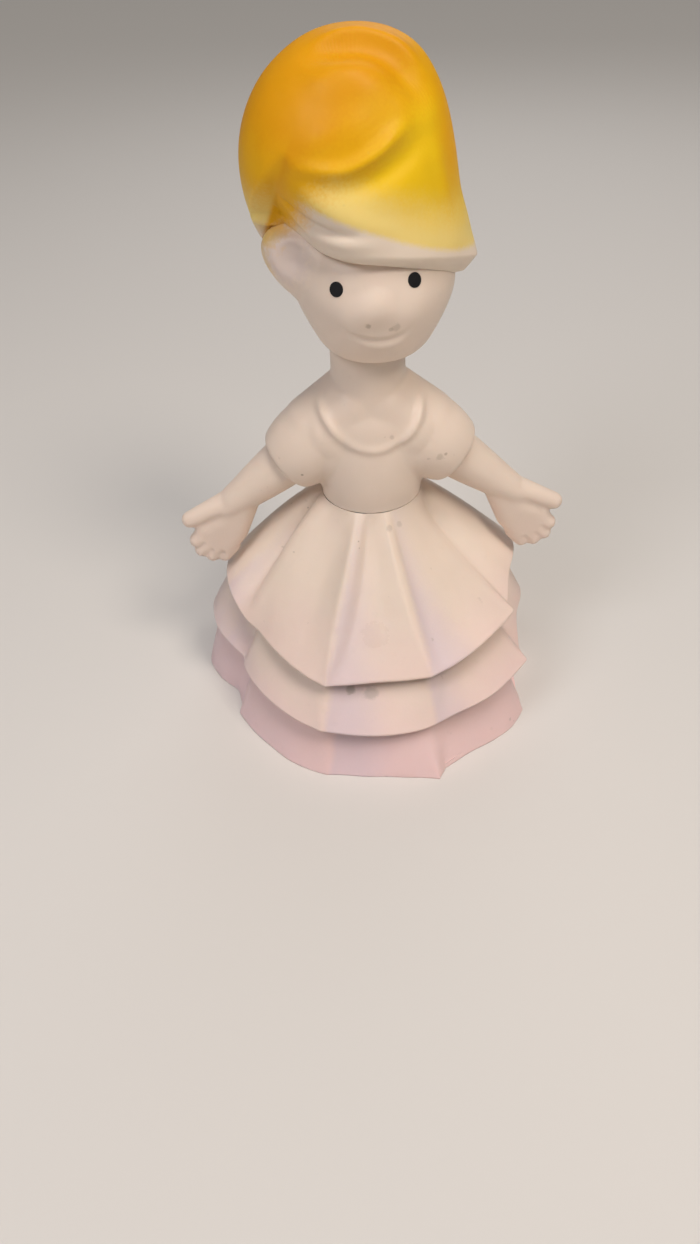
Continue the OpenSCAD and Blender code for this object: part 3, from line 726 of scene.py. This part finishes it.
arm = dict(root=6.5, wrist=4.5, length=18.5, inside=2.6, voxel=0.3, soften=34,
           fingers=[(17.1, -2.3), (18.3, -5.4), (17.2, -8.5), (14.7, -10.7)], finger=2.15,
           thumb=(13.6, 3.6), thumbRadius=2.35, knuckle=2.2, fingerFlat=1.1,
           # balls under the skin of the palm: how far past the wrist, height, radius
           palm=[(5, 0.6, 3.2), (11, 0.3, 2.4), (15.8, -2.6, 2.3), (16.6, -5.2, 2.3), (15.6, -7.8, 2.4),
                 (12.8, -9.3, 2.7), (6.5, -7.2, 3.2), (1.5, -3.2, 3.6)], palmFlat=0.98,
           # grooves on both faces of the hand: height, width, fade
           fingerGroove=(-0.45, 0.75, 0.35), thumbGroove=(-0.45, 1.6, 0.4), halfThick=3.0,
           thumbLine=[(3, -0.6), (8, 0.2), (14, 0.5)])


def hullInto(bm, balls, flat):
    # convex skin round balls: x, z, radius; flat narrows them across Y
    new = bmesh.new()
    for x, z, radius in balls:
        bmesh.ops.create_icosphere(new, subdivisions=3, radius=radius, matrix=Matrix.Translation((x, 0, z)))
    result = bmesh.ops.convex_hull(new, input=new.verts)
    loose = [v for v in new.verts if not v.link_faces]
    inner = [g for g in result["geom_interior"] if isinstance(g, bmesh.types.BMVert)]
    bmesh.ops.delete(new, geom=list(set(inner + loose)), context="VERTS")
    bmesh.ops.scale(new, vec=(1, flat, 1), verts=new.verts)
    mesh = bpy.data.meshes.new("skin")
    new.to_mesh(mesh)
    new.free()
    bm.from_mesh(mesh)
    bpy.data.meshes.remove(mesh)


def makeArm(name, side):
    a = arm
    solids = bmesh.new()
    toX = Matrix.Rotation(math.radians(90), 4, "Y")
    length = a["length"]
    spunInto(solids, [(a["root"] - 0.3, -a["inside"]), (a["root"], -a["inside"] + 0.3), (a["root"], 0),
                      (a["root"] - 0.35, 4), (a["root"] - 1.0, length * 0.5),
                      (a["wrist"] + 0.1, length * 0.85), (a["wrist"] - 0.2, length),
                      (a["wrist"] - 0.7, length + 2.5), (a["wrist"] - 1.5, length + 5.0),
                      (a["wrist"] - 3.2, length + 7.0)], toX)
    hullInto(solids, [(length - 4.5, 0, a["wrist"] - 0.4), *((length + x, z, r) for x, z, r in a["palm"])],
             a["palmFlat"])
    for x, z in a["fingers"]:
        limbInto(solids, (length + x - 4, 0, z * 0.9 - 0.3), (length + x, 0, z), a["knuckle"], a["finger"],
                 a["fingerFlat"])
    thumbX, thumbZ = a["thumb"]
    limbInto(solids, (length + 2.5, 0, 0.6), (length + thumbX, 0, thumbZ), 3.6, a["thumbRadius"])
    bmesh.ops.transform(solids, matrix=side @ alongArm, verts=solids.verts)
    bmesh.ops.recalc_face_normals(solids, faces=solids.faces)
    piece = cast(name, solids, a["voxel"], a["soften"])
    out = np.array(side.to_3x3() @ armTurn.to_3x3() @ Vector((1, 0, 0)))
    up = np.array(side.to_3x3() @ armTurn.to_3x3() @ Vector((0, 0, 1)))
    base = np.array(side @ armRoot) + out * length
    for face in (-1, 1):
        lie = np.array([0, face * a["halfThick"], 0])
        for (x0, z0), (x1, z1) in zip(a["fingers"], a["fingers"][1:]):
            tip = base + out * ((x0 + x1) / 2 + 1.4) + up * (z0 + z1) / 2 + lie
            back = base + out * ((x0 + x1) / 2 - 3.4) + up * ((z0 + z1) / 2 * 0.92) + lie
            stroke(piece, [back, (back + tip) / 2, tip], *a["fingerGroove"])
        stroke(piece, [base + out * x + up * z + lie for x, z in a["thumbLine"]], *a["thumbGroove"])
    return piece


for name, node, body, side in (("rightArm", "arm_right", "right_arm", Matrix()),
                               ("leftArm", "arm_left", "left_arm", mirrorX)):
    limb = makeArm(name, side)
    shadeSmooth(limb, 80)
    limb.data.materials.append(makeCreamMaterial(name + "Vinyl"))
    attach(limb, body)
    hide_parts(node)
print("arms cast")

head = dict(
    radius=18.2, offset=(1.8, -1.5, 13.99), tilt=4.0,
    # the jaw narrows by a share of the width, from a height below the middle and over a span; the chin less
    jaw=0.085, jawFrom=(-3, 12), chin=0.45, chinFrom=(9, 5),
    # nose, cheeks and the dip under the nose: degrees across and up the face, height, radius
    face=[(-2, 3, 0.95, 5.6), (-17, -3, 0.5, 6.5), (24, -4, 0.5, 6.5), (2, -13, -0.2, 5.5)],
    # the lump of hair moulded on the skull and the hollow below it: place about the middle, height, radius
    skull=[((-16.6, -2.0, 7.8), 8.2, 10.6), ((-17.6, -9.6, 9.0), -1.3, 5.0)],
    smile=[(-28, -5.5), (-23, -11.5), (-16, -16.5), (-7, -20.2), (3, -21.6), (13, -20.2), (21, -15.5),
           (27, -9)],
    # height, width and fade of the smile's groove, and of the lip a little below it
    groove=(-0.55, 0.9, 0.35), lip=(0.18, 1.3, 0.3), lipDrop=1.6,
    marks=[((-0.4, -19.7, 119.5), 0.9, 0.6), ((5.7, -18.9, 118.5), 1.3, 0.4),
           ((4.4, -19.2, 118.0), 0.7, 0.5)],
    # yellow overspray on the lump, and a painted grey shade for the shadow in the hollow
    tintsAndShade=[([((-21.5, -4.5, 137.5), 8.5, 0.8), ((-22.0, -5.0, 128.0), 5.0, 0.4)], (0.84, 0.56, 0.12, 1)),
           ([((-17.5, -10.0, 130.5), 7.5, 0.28)], (0.55, 0.47, 0.52, 1))],
)
headAt = np.array(neckTop) / mm + head["offset"]


def faceDir(spreadAngle, riseAngle):
    # direction from the head's centre: degrees away from the middle of the face, degrees up
    s, r, t = (math.radians(v) for v in (spreadAngle, riseAngle, head["tilt"]))
    x, y, z = math.sin(s) * math.cos(r), -math.cos(s) * math.cos(r), math.sin(r)
    return np.array([x * math.cos(t) - z * math.sin(t), y, x * math.sin(t) + z * math.cos(t)])


def facePoint(spreadAngle, riseAngle):
    return headAt + faceDir(spreadAngle, riseAngle) * head["radius"]


def makeHead():
    bm = bmesh.new()
    bmesh.ops.create_icosphere(bm, subdivisions=7, radius=head["radius"], matrix=Matrix.Translation(headAt))
    seat = Vector((0, 0, neckTop.z / mm))        # cut flat where the head sits on the neck
    cut = bmesh.ops.bisect_plane(bm, geom=bm.verts[:] + bm.edges[:] + bm.faces[:], plane_co=seat,
                                 plane_no=(0, 0, -1), clear_outer=True)
    edges = [e for e in cut["geom_cut"] if isinstance(e, bmesh.types.BMEdge)]
    bmesh.ops.contextual_create(bm, geom=edges)
    bmesh.ops.recalc_face_normals(bm, faces=bm.faces)
    return meshFrom("head", bm)


def taperJaw(piece):
    # the sphere narrows sideways towards the chin
    points = getPoints(piece)
    down = -(points[:, 2] - headAt[2])
    (jawStart, jawSpan), (chinStart, chinSpan) = head["jawFrom"], head["chinFrom"]
    fuller = 1 - head["chin"] * ease((down - chinStart) / chinSpan)
    narrow = 1 - head["jaw"] * ease((down - jawStart) / jawSpan) * fuller
    points[:, 0] = headAt[0] + (points[:, 0] - headAt[0]) * narrow
    setPoints(piece, points)


headPiece = makeHead()
taperJaw(headPiece)
for across, up, height, radius in head["face"]:
    push(headPiece, facePoint(across, up), height, radius)
for place, height, radius in head["skull"]:
    push(headPiece, headAt + place, height, radius)
smile = [facePoint(across, up) for across, up in head["smile"]]
stroke(headPiece, smile, *head["groove"])
stroke(headPiece, [p - [0, 0, head["lipDrop"]] for p in smile], *head["lip"])
shadeSmooth(headPiece, 60)
headPiece.data.materials.append(makeCreamMaterial("headVinyl", head["marks"], head["tintsAndShade"]))
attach(headPiece, "head")
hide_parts("head_shell")
print("head built")

hair = dict(
    turns=440, rise=180, wall=0.88,
    # centre of the level sections, about the head's centre: height, x, y
    centre=[(-12, -1.5, 2), (-4, -1.5, 2), (4, -1, 1.8), (10, -1.6, 1.8), (19.6, -4.1, 2.5),
            (28.6, -4.9, 3.1), (36.6, -4.6, 3.5), (41, -4.1, 3.5), (45, -3.4, 3.3), (50, -3, 3)],
    # half width and half depth below the dome: height, x, y
    half=[(-12, 16.5, 16), (-4, 20.5, 19), (4, 22.8, 20.5), (10, 23, 20.6), (19.6, 22.9, 20.6)],
    domeTop=48.9, domePower=2.25,
    # lower edge of the outer face: degrees from the front (right is above 0), height
    rim=[(-180, -9), (-150, -8.4), (-130, -4), (-118, 3), (-108, 7.6), (-100, 9.6), (-94, 11.0),
         (-88, 13.6), (-82, 16.0), (-74, 16.8), (-62, 15.8), (-48, 14.5), (-34, 13.7), (-18, 13.1),
         (0, 12.4), (30, 10.5), (55, 8.1), (75, 6.0), (92, 4.4), (112, -1.6), (135, -7), (180, -9)],
    # the brim's lower face: degrees, how far it steps in, how far it drops, how round it is
    brim=[(-180, 1.6, 1.2, 1), (-110, 1.6, 1.2, 1), (-85, 2.0, 2.6, 1), (-40, 2.6, 2.8, 1),
          (0, 2.2, 2.4, 0.8), (40, 2.0, 2.8, 0.3), (80, 2.6, 3.3, 0.1), (110, 1.8, 1.8, 0.6),
          (180, 1.6, 1.2, 1)],
    # sculpted locks: points about the head's centre, height, width
    locks=[
        ([(-12.8, -3.6, 45.0), (-10.0, -2.6, 46.8), (-6.6, -2.2, 47.9), (-2.6, -1.9, 48.3),
          (1.2, -2.5, 47.8), (5.8, -3.1, 45.9), (8.9, -3.8, 43.0), (11.6, -4.4, 38.4)], 0.95, 2.0),
        ([(-13.5, -6.6, 43.4), (-10.6, -6.2, 45.2), (-6.5, -5.8, 46.5), (-0.9, -5.9, 46.3),
          (4.0, -6.8, 44.3), (7.4, -7.5, 41.2), (9.8, -7.8, 37.6), (11.4, -7.9, 34.0)], -1.9, 3.2),
        ([(-14.3, -8.6, 41.0), (-9.5, -9.6, 42.6), (-4.5, -10.4, 42.5), (0.0, -10.8, 41.2),
          (4.6, -10.2, 38.9)],
         0.6, 3.8),
        ([(-15.8, -13.6, 30.4), (-12.0, -14.6, 32.6), (-7.6, -15.0, 34.2), (-3.0, -14.7, 35.4),
          (1.6, -13.6, 36.0)],
         0.4, 3.2),
        ([(-17.6, -13.0, 28.0), (-14.4, -14.9, 28.2), (-9.6, -16.3, 27.9), (-5.8, -16.8, 28.0),
          (-2.9, -16.6, 28.9), (0.6, -15.6, 30.6), (3.4, -14.1, 32.5), (5.8, -12.3, 34.4),
          (7.9, -10.3, 36.0)], 1.05, 1.6),
        ([(-15.4, -15.0, 25.8), (-9.6, -16.9, 25.0), (-4.0, -17.3, 25.3), (-0.2, -16.9, 26.2),
          (3.8, -15.2, 27.9), (7.2, -13.0, 30.0), (9.6, -10.7, 32.4), (10.8, -8.9, 35.0)], -0.95, 2.4),
        ([(11.8, -9.0, 32.0), (12.7, -9.0, 28.6), (13.7, -9.2, 24.8), (15.2, -8.9, 20.0),
          (17.4, -8.6, 14.6)],
         0.35, 2.0),
        ([(-19.0, -9.2, 22.8), (-17.8, -9.2, 20.4), (-15.8, -11.2, 18.3), (-12.0, -14.7, 17.1),
          (-7.0, -17.6, 16.4), (-2.0, -18.8, 15.8)], -1.1, 1.2),
        ([(-19.4, -7.4, 19.4), (-16.8, -9.4, 16.8), (-13.2, -12.8, 15.2), (-8.0, -16.6, 14.6),
          (-2.0, -18.5, 14.4), (4.0, -18.2, 13.4)], 0.7, 1.5),
        ([(-18.0, -11.4, 25.4), (-13.0, -15.0, 22.6), (-7.0, -17.4, 19.8), (-0.5, -18.3, 17.6),
          (6.0, -17.2, 15.4)],
         0.6, 2.4),
        ([(-16.6, -13.1, 31.0), (-17.7, -12.7, 28.5), (-18.9, -11.4, 25.2), (-20.2, -7.8, 21.1),
          (-21.5, -3.8, 17.1)], -0.5, 1.6),
    ],
    # broad sweeps round the back: points as degrees from the front and height, height, width
    sweeps=[([(-112, 10), (-122, 22), (-140, 34), (-170, 42)], -1.2, 3.0),
            ([(-140, -2), (-152, 12), (-172, 26), (-196, 36)], -1.1, 3.2),
            ([(-176, -4), (-188, 10), (-206, 22), (-226, 30)], -1.1, 3.2),
            ([(-210, 0), (-222, 10), (-238, 18), (-252, 24)], -1.0, 2.8),
            ([(-126, 8), (-138, 22), (-156, 34), (-184, 41)], 0.8, 3.0),
            ([(-160, -2), (-172, 12), (-192, 24), (-214, 33)], 0.8, 3.0)],
    # the fringe starts at a crease (height, angle). Past it the hair lies closer to the head: by how much,
    # over how many degrees, where that ends (angle, span) and under which height (height, span)
    crease=[(4, -97), (8, -95), (12, -91), (16, -82), (20, -69), (25, -55), (31, -44)],
    hug=6.8, hugTurn=13, hugEnd=(-56, 56), hugTop=(31, 19),
    # the brim's right corner stands out: by how much, its angle and half width, height and span
    corner=1.3, cornerAt=(78, 25), cornerTop=(4, 8),
    heart=(-0.6, 0.6), core=(-3, 2, 14.0),       # points that the brim and the inner face close in on
    lockFade=0.35, sweepFade=0.3,
)


def smoothTable(x, table):
    # values on a smooth curve through the table's rows
    table = np.asarray(table, float)
    xs, rows = table[:, 0], table[:, 1:]
    slope = np.gradient(rows, xs, axis=0)
    i = np.clip(np.searchsorted(xs, x, side="right") - 1, 0, len(xs) - 2)
    h = xs[i + 1] - xs[i]
    t = np.clip((x - xs[i]) / h, 0, 1)[:, None]
    h = h[:, None]
    return ((2 * t ** 3 - 3 * t ** 2 + 1) * rows[i] + (t ** 3 - 2 * t ** 2 + t) * h * slope[i]
            + (3 * t ** 2 - 2 * t ** 3) * rows[i + 1] + (t ** 3 - t ** 2) * h * slope[i + 1])


def hairPoint(angles, heights):
    # outer face of the plain hair form, about the head's centre
    cx, cy = smoothTable(heights, hair["centre"]).T
    w, d = smoothTable(heights, hair["half"]).T
    foot = hair["half"][-1][0]
    up = np.clip((heights - foot) / (hair["domeTop"] - foot), 0, 1)
    dome = (1 - up ** hair["domePower"]) ** (1 / hair["domePower"])
    a = np.radians(angles)
    start = smoothTable(heights, hair["crease"])[:, 0]
    (endAngle, endSpan), (topHeight, topSpan) = hair["hugEnd"], hair["hugTop"]
    pull = (hair["hug"] * ease((angles - start) / hair["hugTurn"])
            * (1 - ease((angles - endAngle) / endSpan)) * ease((topHeight - heights) / topSpan))
    w, d = w * dome - pull, d * dome - pull
    (at, halfWidth), (low, span) = hair["cornerAt"], hair["cornerTop"]
    corner = hair["corner"] * ease(1 - np.abs(angles - at) / halfWidth) * (1 - ease((heights - low) / span))
    return np.stack([cx + (w + corner) * np.sin(a), cy - (d + corner) * np.cos(a), heights], 1)


def riseAt(k):
    # rows lie closer towards the crown, and the last one stops just short of a point
    return math.sin(math.pi / 2 * k / hair["rise"]) if k < hair["rise"] else 0.99999


def makeHair():
    # outer face, brim, underside up to the skull and inner face
    turns = np.linspace(-180, 180, hair["turns"], endpoint=False)
    rim = smoothTable(turns, hair["rim"])[:, 0]
    crown = hair["domeTop"]
    rise = hair["rise"]
    rings = []
    for k in range(rise, 0, -1):
        rings.append(hairPoint(turns, rim + (crown - rim) * riseAt(k)))
    edge = hairPoint(turns, rim)
    heartX, heartY = hair["heart"]
    heart = np.stack([np.full(len(turns), heartX), np.full(len(turns), heartY), edge[:, 2]], 1)
    inward = heart - edge
    inward /= np.linalg.norm(inward, axis=1)[:, None]
    stepIn, drop, roundness = smoothTable(turns, hair["brim"]).T
    upward = np.array([0, 0, 1])
    for a in np.linspace(0, 1, 9)[:-1]:
        curve = a * math.pi / 2
        bow = roundness[:, None] * (inward * (stepIn * (1 - math.cos(curve)))[:, None]
                                    - upward * (drop * math.sin(curve))[:, None])
        straight = (1 - roundness)[:, None] * (inward * (stepIn * a)[:, None] - upward * (drop * a)[:, None])
        rings.append(edge + bow + straight)
    lower = edge + inward * stepIn[:, None] - upward * drop[:, None]
    meet = lower[:, 2] - 0.4                 # height where the underside meets the skull
    r = np.sqrt(head["radius"] ** 2 - meet ** 2) - 0.5
    skull = np.stack([-inward[:, 0] * r, -inward[:, 1] * r, meet], 1)
    for t in np.linspace(0, 1, 9):
        rings.append(lower * (1 - t) + skull * t)
    core = np.array(hair["core"])
    for k in range(0, rise + 1, 8):
        inner = hairPoint(turns, rim + 5 + (crown - rim - 5) * riseAt(k))
        rings.append(core + hair["wall"] * (inner - core))
    return loft("hair", np.array(rings) + headAt, capEnds=True)


hairPiece = makeHair()
for path, height, width in hair["locks"]:
    stroke(hairPiece, [headAt + p for p in path], height, width, hair["lockFade"])
for path, height, width in hair["sweeps"]:
    points = curveThrough(path, 12)
    stroke(hairPiece, hairPoint(points[:, 0], points[:, 1]) + headAt, height, width, hair["sweepFade"])
shadeSmooth(hairPiece, 70)

hairSpray = dict(
    white=(0.80, 0.68, 0.56, 1), pale=(0.86, 0.66, 0.22, 1), yellow=(0.86, 0.55, 0.012, 1),
    gold=(0.80, 0.42, 0.008, 1), orange=(0.74, 0.33, 0.006, 1), amber=(0.84, 0.42, 0.004, 1),
    # coats over the white: colour, direction, then start, end and feather in mm from the head's centre
    fringe=[("pale", (0.37, 0, 1), 15.4, 17.2, 1.5), ("yellow", (0.37, 0, 1), 18.0, 28, 4),
            ("gold", (-0.75, 0.2, 1), 23, 32, 8), ("orange", (-0.75, 0.2, 1), 30, 42, 10)],
    side=[("pale", (0, 0, 1), 10, 17, 4), ("gold", (0, 0, 1), 16, 25, 6), ("orange", (0, 0, 1), 24, 38, 8)],
    # where the side takes over from the fringe, and the amber on the right
    border=((-1, 0.078, 0.394), 27.4, 28.8, 1.2), right=((1, 0.6, 0), 5, 13, 4), high=((0, 0, 1), 14, 28, 6),
    look=dict(vinylLook, rough=0.44, dirt=0.12, clouding=0.04, specular=0.16),
)


def makeHairMaterial():
    # sprayed from orange at the crown, through yellow, to bare white at the fringe
    material, tree, shader = newMaterial("hairVinyl", (0.9, 0.55, 0.08))
    spray, base = hairSpray, Vector(headAt * mm)

    def above(toward, start, end, feather):
        level = Vector(toward).dot(base)
        return mist(tree, toward, level + start * mm, level + end * mm, feather * mm)

    def coats(name):
        color = spray["white"]
        for shade, *edge in spray[name]:
            color = blendColors(tree, above(*edge), color, spray[shade])
        return color

    color = blendColors(tree, above(*spray["border"]), coats("fringe"), coats("side"))
    right = math2(tree, "MULTIPLY", above(*spray["right"]), above(*spray["high"]))
    finishVinyl(tree, shader, blendColors(tree, right, color, spray["amber"]), spray["look"])
    return material


hairPiece.data.materials.append(makeHairMaterial())
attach(hairPiece, "head")
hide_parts("hair_shell")
print("hair built")

eye = dict(dark=(0.004, 0.004, 0.005, 1), light=(0.010, 0.010, 0.012, 1), haze=900, rough=0.3, uneven=0.15)
peg = dict(color=(0.72, 0.71, 0.67, 1), look=dict(vinylLook, rough=0.5, dirt=0.1, glow=0.0))


def makeEyeMaterial():
    material, tree, shader = newMaterial("eyeGloss", (0.01, 0.01, 0.012))
    where = addNode(tree, "ShaderNodeTexCoord").outputs["Object"]
    haze = noiseAt(tree, where, eye["haze"], 3, 0.6)
    tree.links.new(blendColors(tree, haze, eye["dark"], eye["light"]), shader.inputs["Base Color"])
    rough = math2(tree, "ADD", math2(tree, "MULTIPLY", haze, eye["uneven"]), eye["rough"])
    tree.links.new(rough, shader.inputs["Roughness"])
    return material


def makePegMaterial():
    material, tree, shader = newMaterial("pegPlastic", (0.75, 0.74, 0.7))
    finishVinyl(tree, shader, peg["color"], peg["look"])
    return material


# the pieces kept from the CAD get their own finishes
eyeMaterial, pegMaterial = makeEyeMaterial(), makePegMaterial()
baseMaterial = makeTierMaterial("baseVinyl", tierLooks[-1])
for node, material in (("eye_left", eyeMaterial), ("eye_right", eyeMaterial), ("base_plate", baseMaterial),
                       ("vent_plug", pegMaterial), ("waist_socket", pegMaterial), ("waist_peg", pegMaterial),
                       ("neck_peg", pegMaterial), ("arm_peg_left", pegMaterial),
                       ("arm_peg_right", pegMaterial)):
    frame["nodes"][node].data.materials.clear()
    frame["nodes"][node].data.materials.append(material)
print("carried-over pieces finished")

studio = dict(
    floorSize=6.0, floorColor=(0.70, 0.675, 0.645, 1), floorRough=0.75,
    ambient=(0.92, 0.90, 0.88, 1), ambientPower=0.09, backdrop=(0.48, 0.46, 0.44, 1),
    camera=(-0.0075, -0.208, 0.204), lookDown=41.7, roll=-3.0, lens=27.03,
    # lights: place, size, power and colour; the sky's are direction, spread in degrees, power and colour
    aim=(0, 0, 0.08),
    key=((0.26, -0.34, 0.62), 0.22, 2.0, (1.0, 0.90, 0.80)),
    fill=((-0.36, -0.36, 0.60), 0.30, 1.55, (0.98, 0.96, 1.0)),
    back=((0.12, 0.52, 0.52), 0.50, 0.7, (0.97, 0.97, 1.0)),
    sky=((0.10, -0.24, 1.0), 20, 1.05, (1.0, 0.95, 0.90)),
)


def makeFloor():
    half = studio["floorSize"] / 2 / mm
    corners = [(-half, -half, 0), (half, -half, 0), (half, half, 0), (-half, half, 0)]
    floor = addPiece("floor", corners, [(0, 1, 2, 3)])
    material, tree, shader = newMaterial("paleFloor", studio["floorColor"][:3])
    shader.inputs["Base Color"].default_value = studio["floorColor"]
    shader.inputs["Roughness"].default_value = studio["floorRough"]
    floor.data.materials.append(material)


def addLight(name, place, size, power, color):
    lamp = bpy.data.lights.new(name, "AREA")
    lamp.shape = "DISK"
    lamp.size = size
    lamp.energy = power
    lamp.color = color
    obj = bpy.data.objects.new(name, lamp)
    obj.location = place
    obj.rotation_euler = (Vector(studio["aim"]) - Vector(place)).to_track_quat("-Z", "Y").to_euler()
    obj.visible_camera = False
    scene.collection.objects.link(obj)


def addSky():
    # a wide, even light from above
    place, spreadAngle, power, color = studio["sky"]
    lamp = bpy.data.lights.new("sky", "SUN")
    lamp.angle = math.radians(spreadAngle)
    lamp.energy = power
    lamp.color = color
    obj = bpy.data.objects.new("sky", lamp)
    obj.rotation_euler = Vector(place).to_track_quat("Z", "Y").to_euler()
    scene.collection.objects.link(obj)


def makeCamera():
    data = bpy.data.cameras.new("camera")
    data.sensor_width = 36
    data.lens = studio["lens"]
    data.clip_start = 0.01
    camera = bpy.data.objects.new("camera", data)
    tip = math.radians(90 - studio["lookDown"])
    turn = Matrix.Rotation(tip, 4, "X") @ Matrix.Rotation(math.radians(studio["roll"]), 4, "Z")
    camera.matrix_world = Matrix.Translation(studio["camera"]) @ turn
    scene.collection.objects.link(camera)
    scene.camera = camera


def makeWorld():
    # a faint light from all round, and a plain backdrop that only the camera sees
    world = bpy.data.worlds.new("studio")
    world.use_nodes = True
    tree = world.node_tree
    ambient = tree.nodes["Background"]
    ambient.inputs["Color"].default_value = studio["ambient"]
    ambient.inputs["Strength"].default_value = studio["ambientPower"]
    backdrop = addNode(tree, "ShaderNodeBackground", {"Color": studio["backdrop"], "Strength": 1.0})
    byCamera = addNode(tree, "ShaderNodeLightPath").outputs["Is Camera Ray"]
    surround = addNode(tree, "ShaderNodeMixShader",
                       {0: byCamera, 1: ambient.outputs[0], 2: backdrop.outputs[0]})
    tree.links.new(surround.outputs[0], tree.nodes["World Output"].inputs["Surface"])
    scene.world = world


makeFloor()
for name in ("key", "fill", "back"):
    addLight(name, *studio[name])
addSky()
makeCamera()
makeWorld()
scene.view_settings.view_transform = "Standard"
print("studio set")
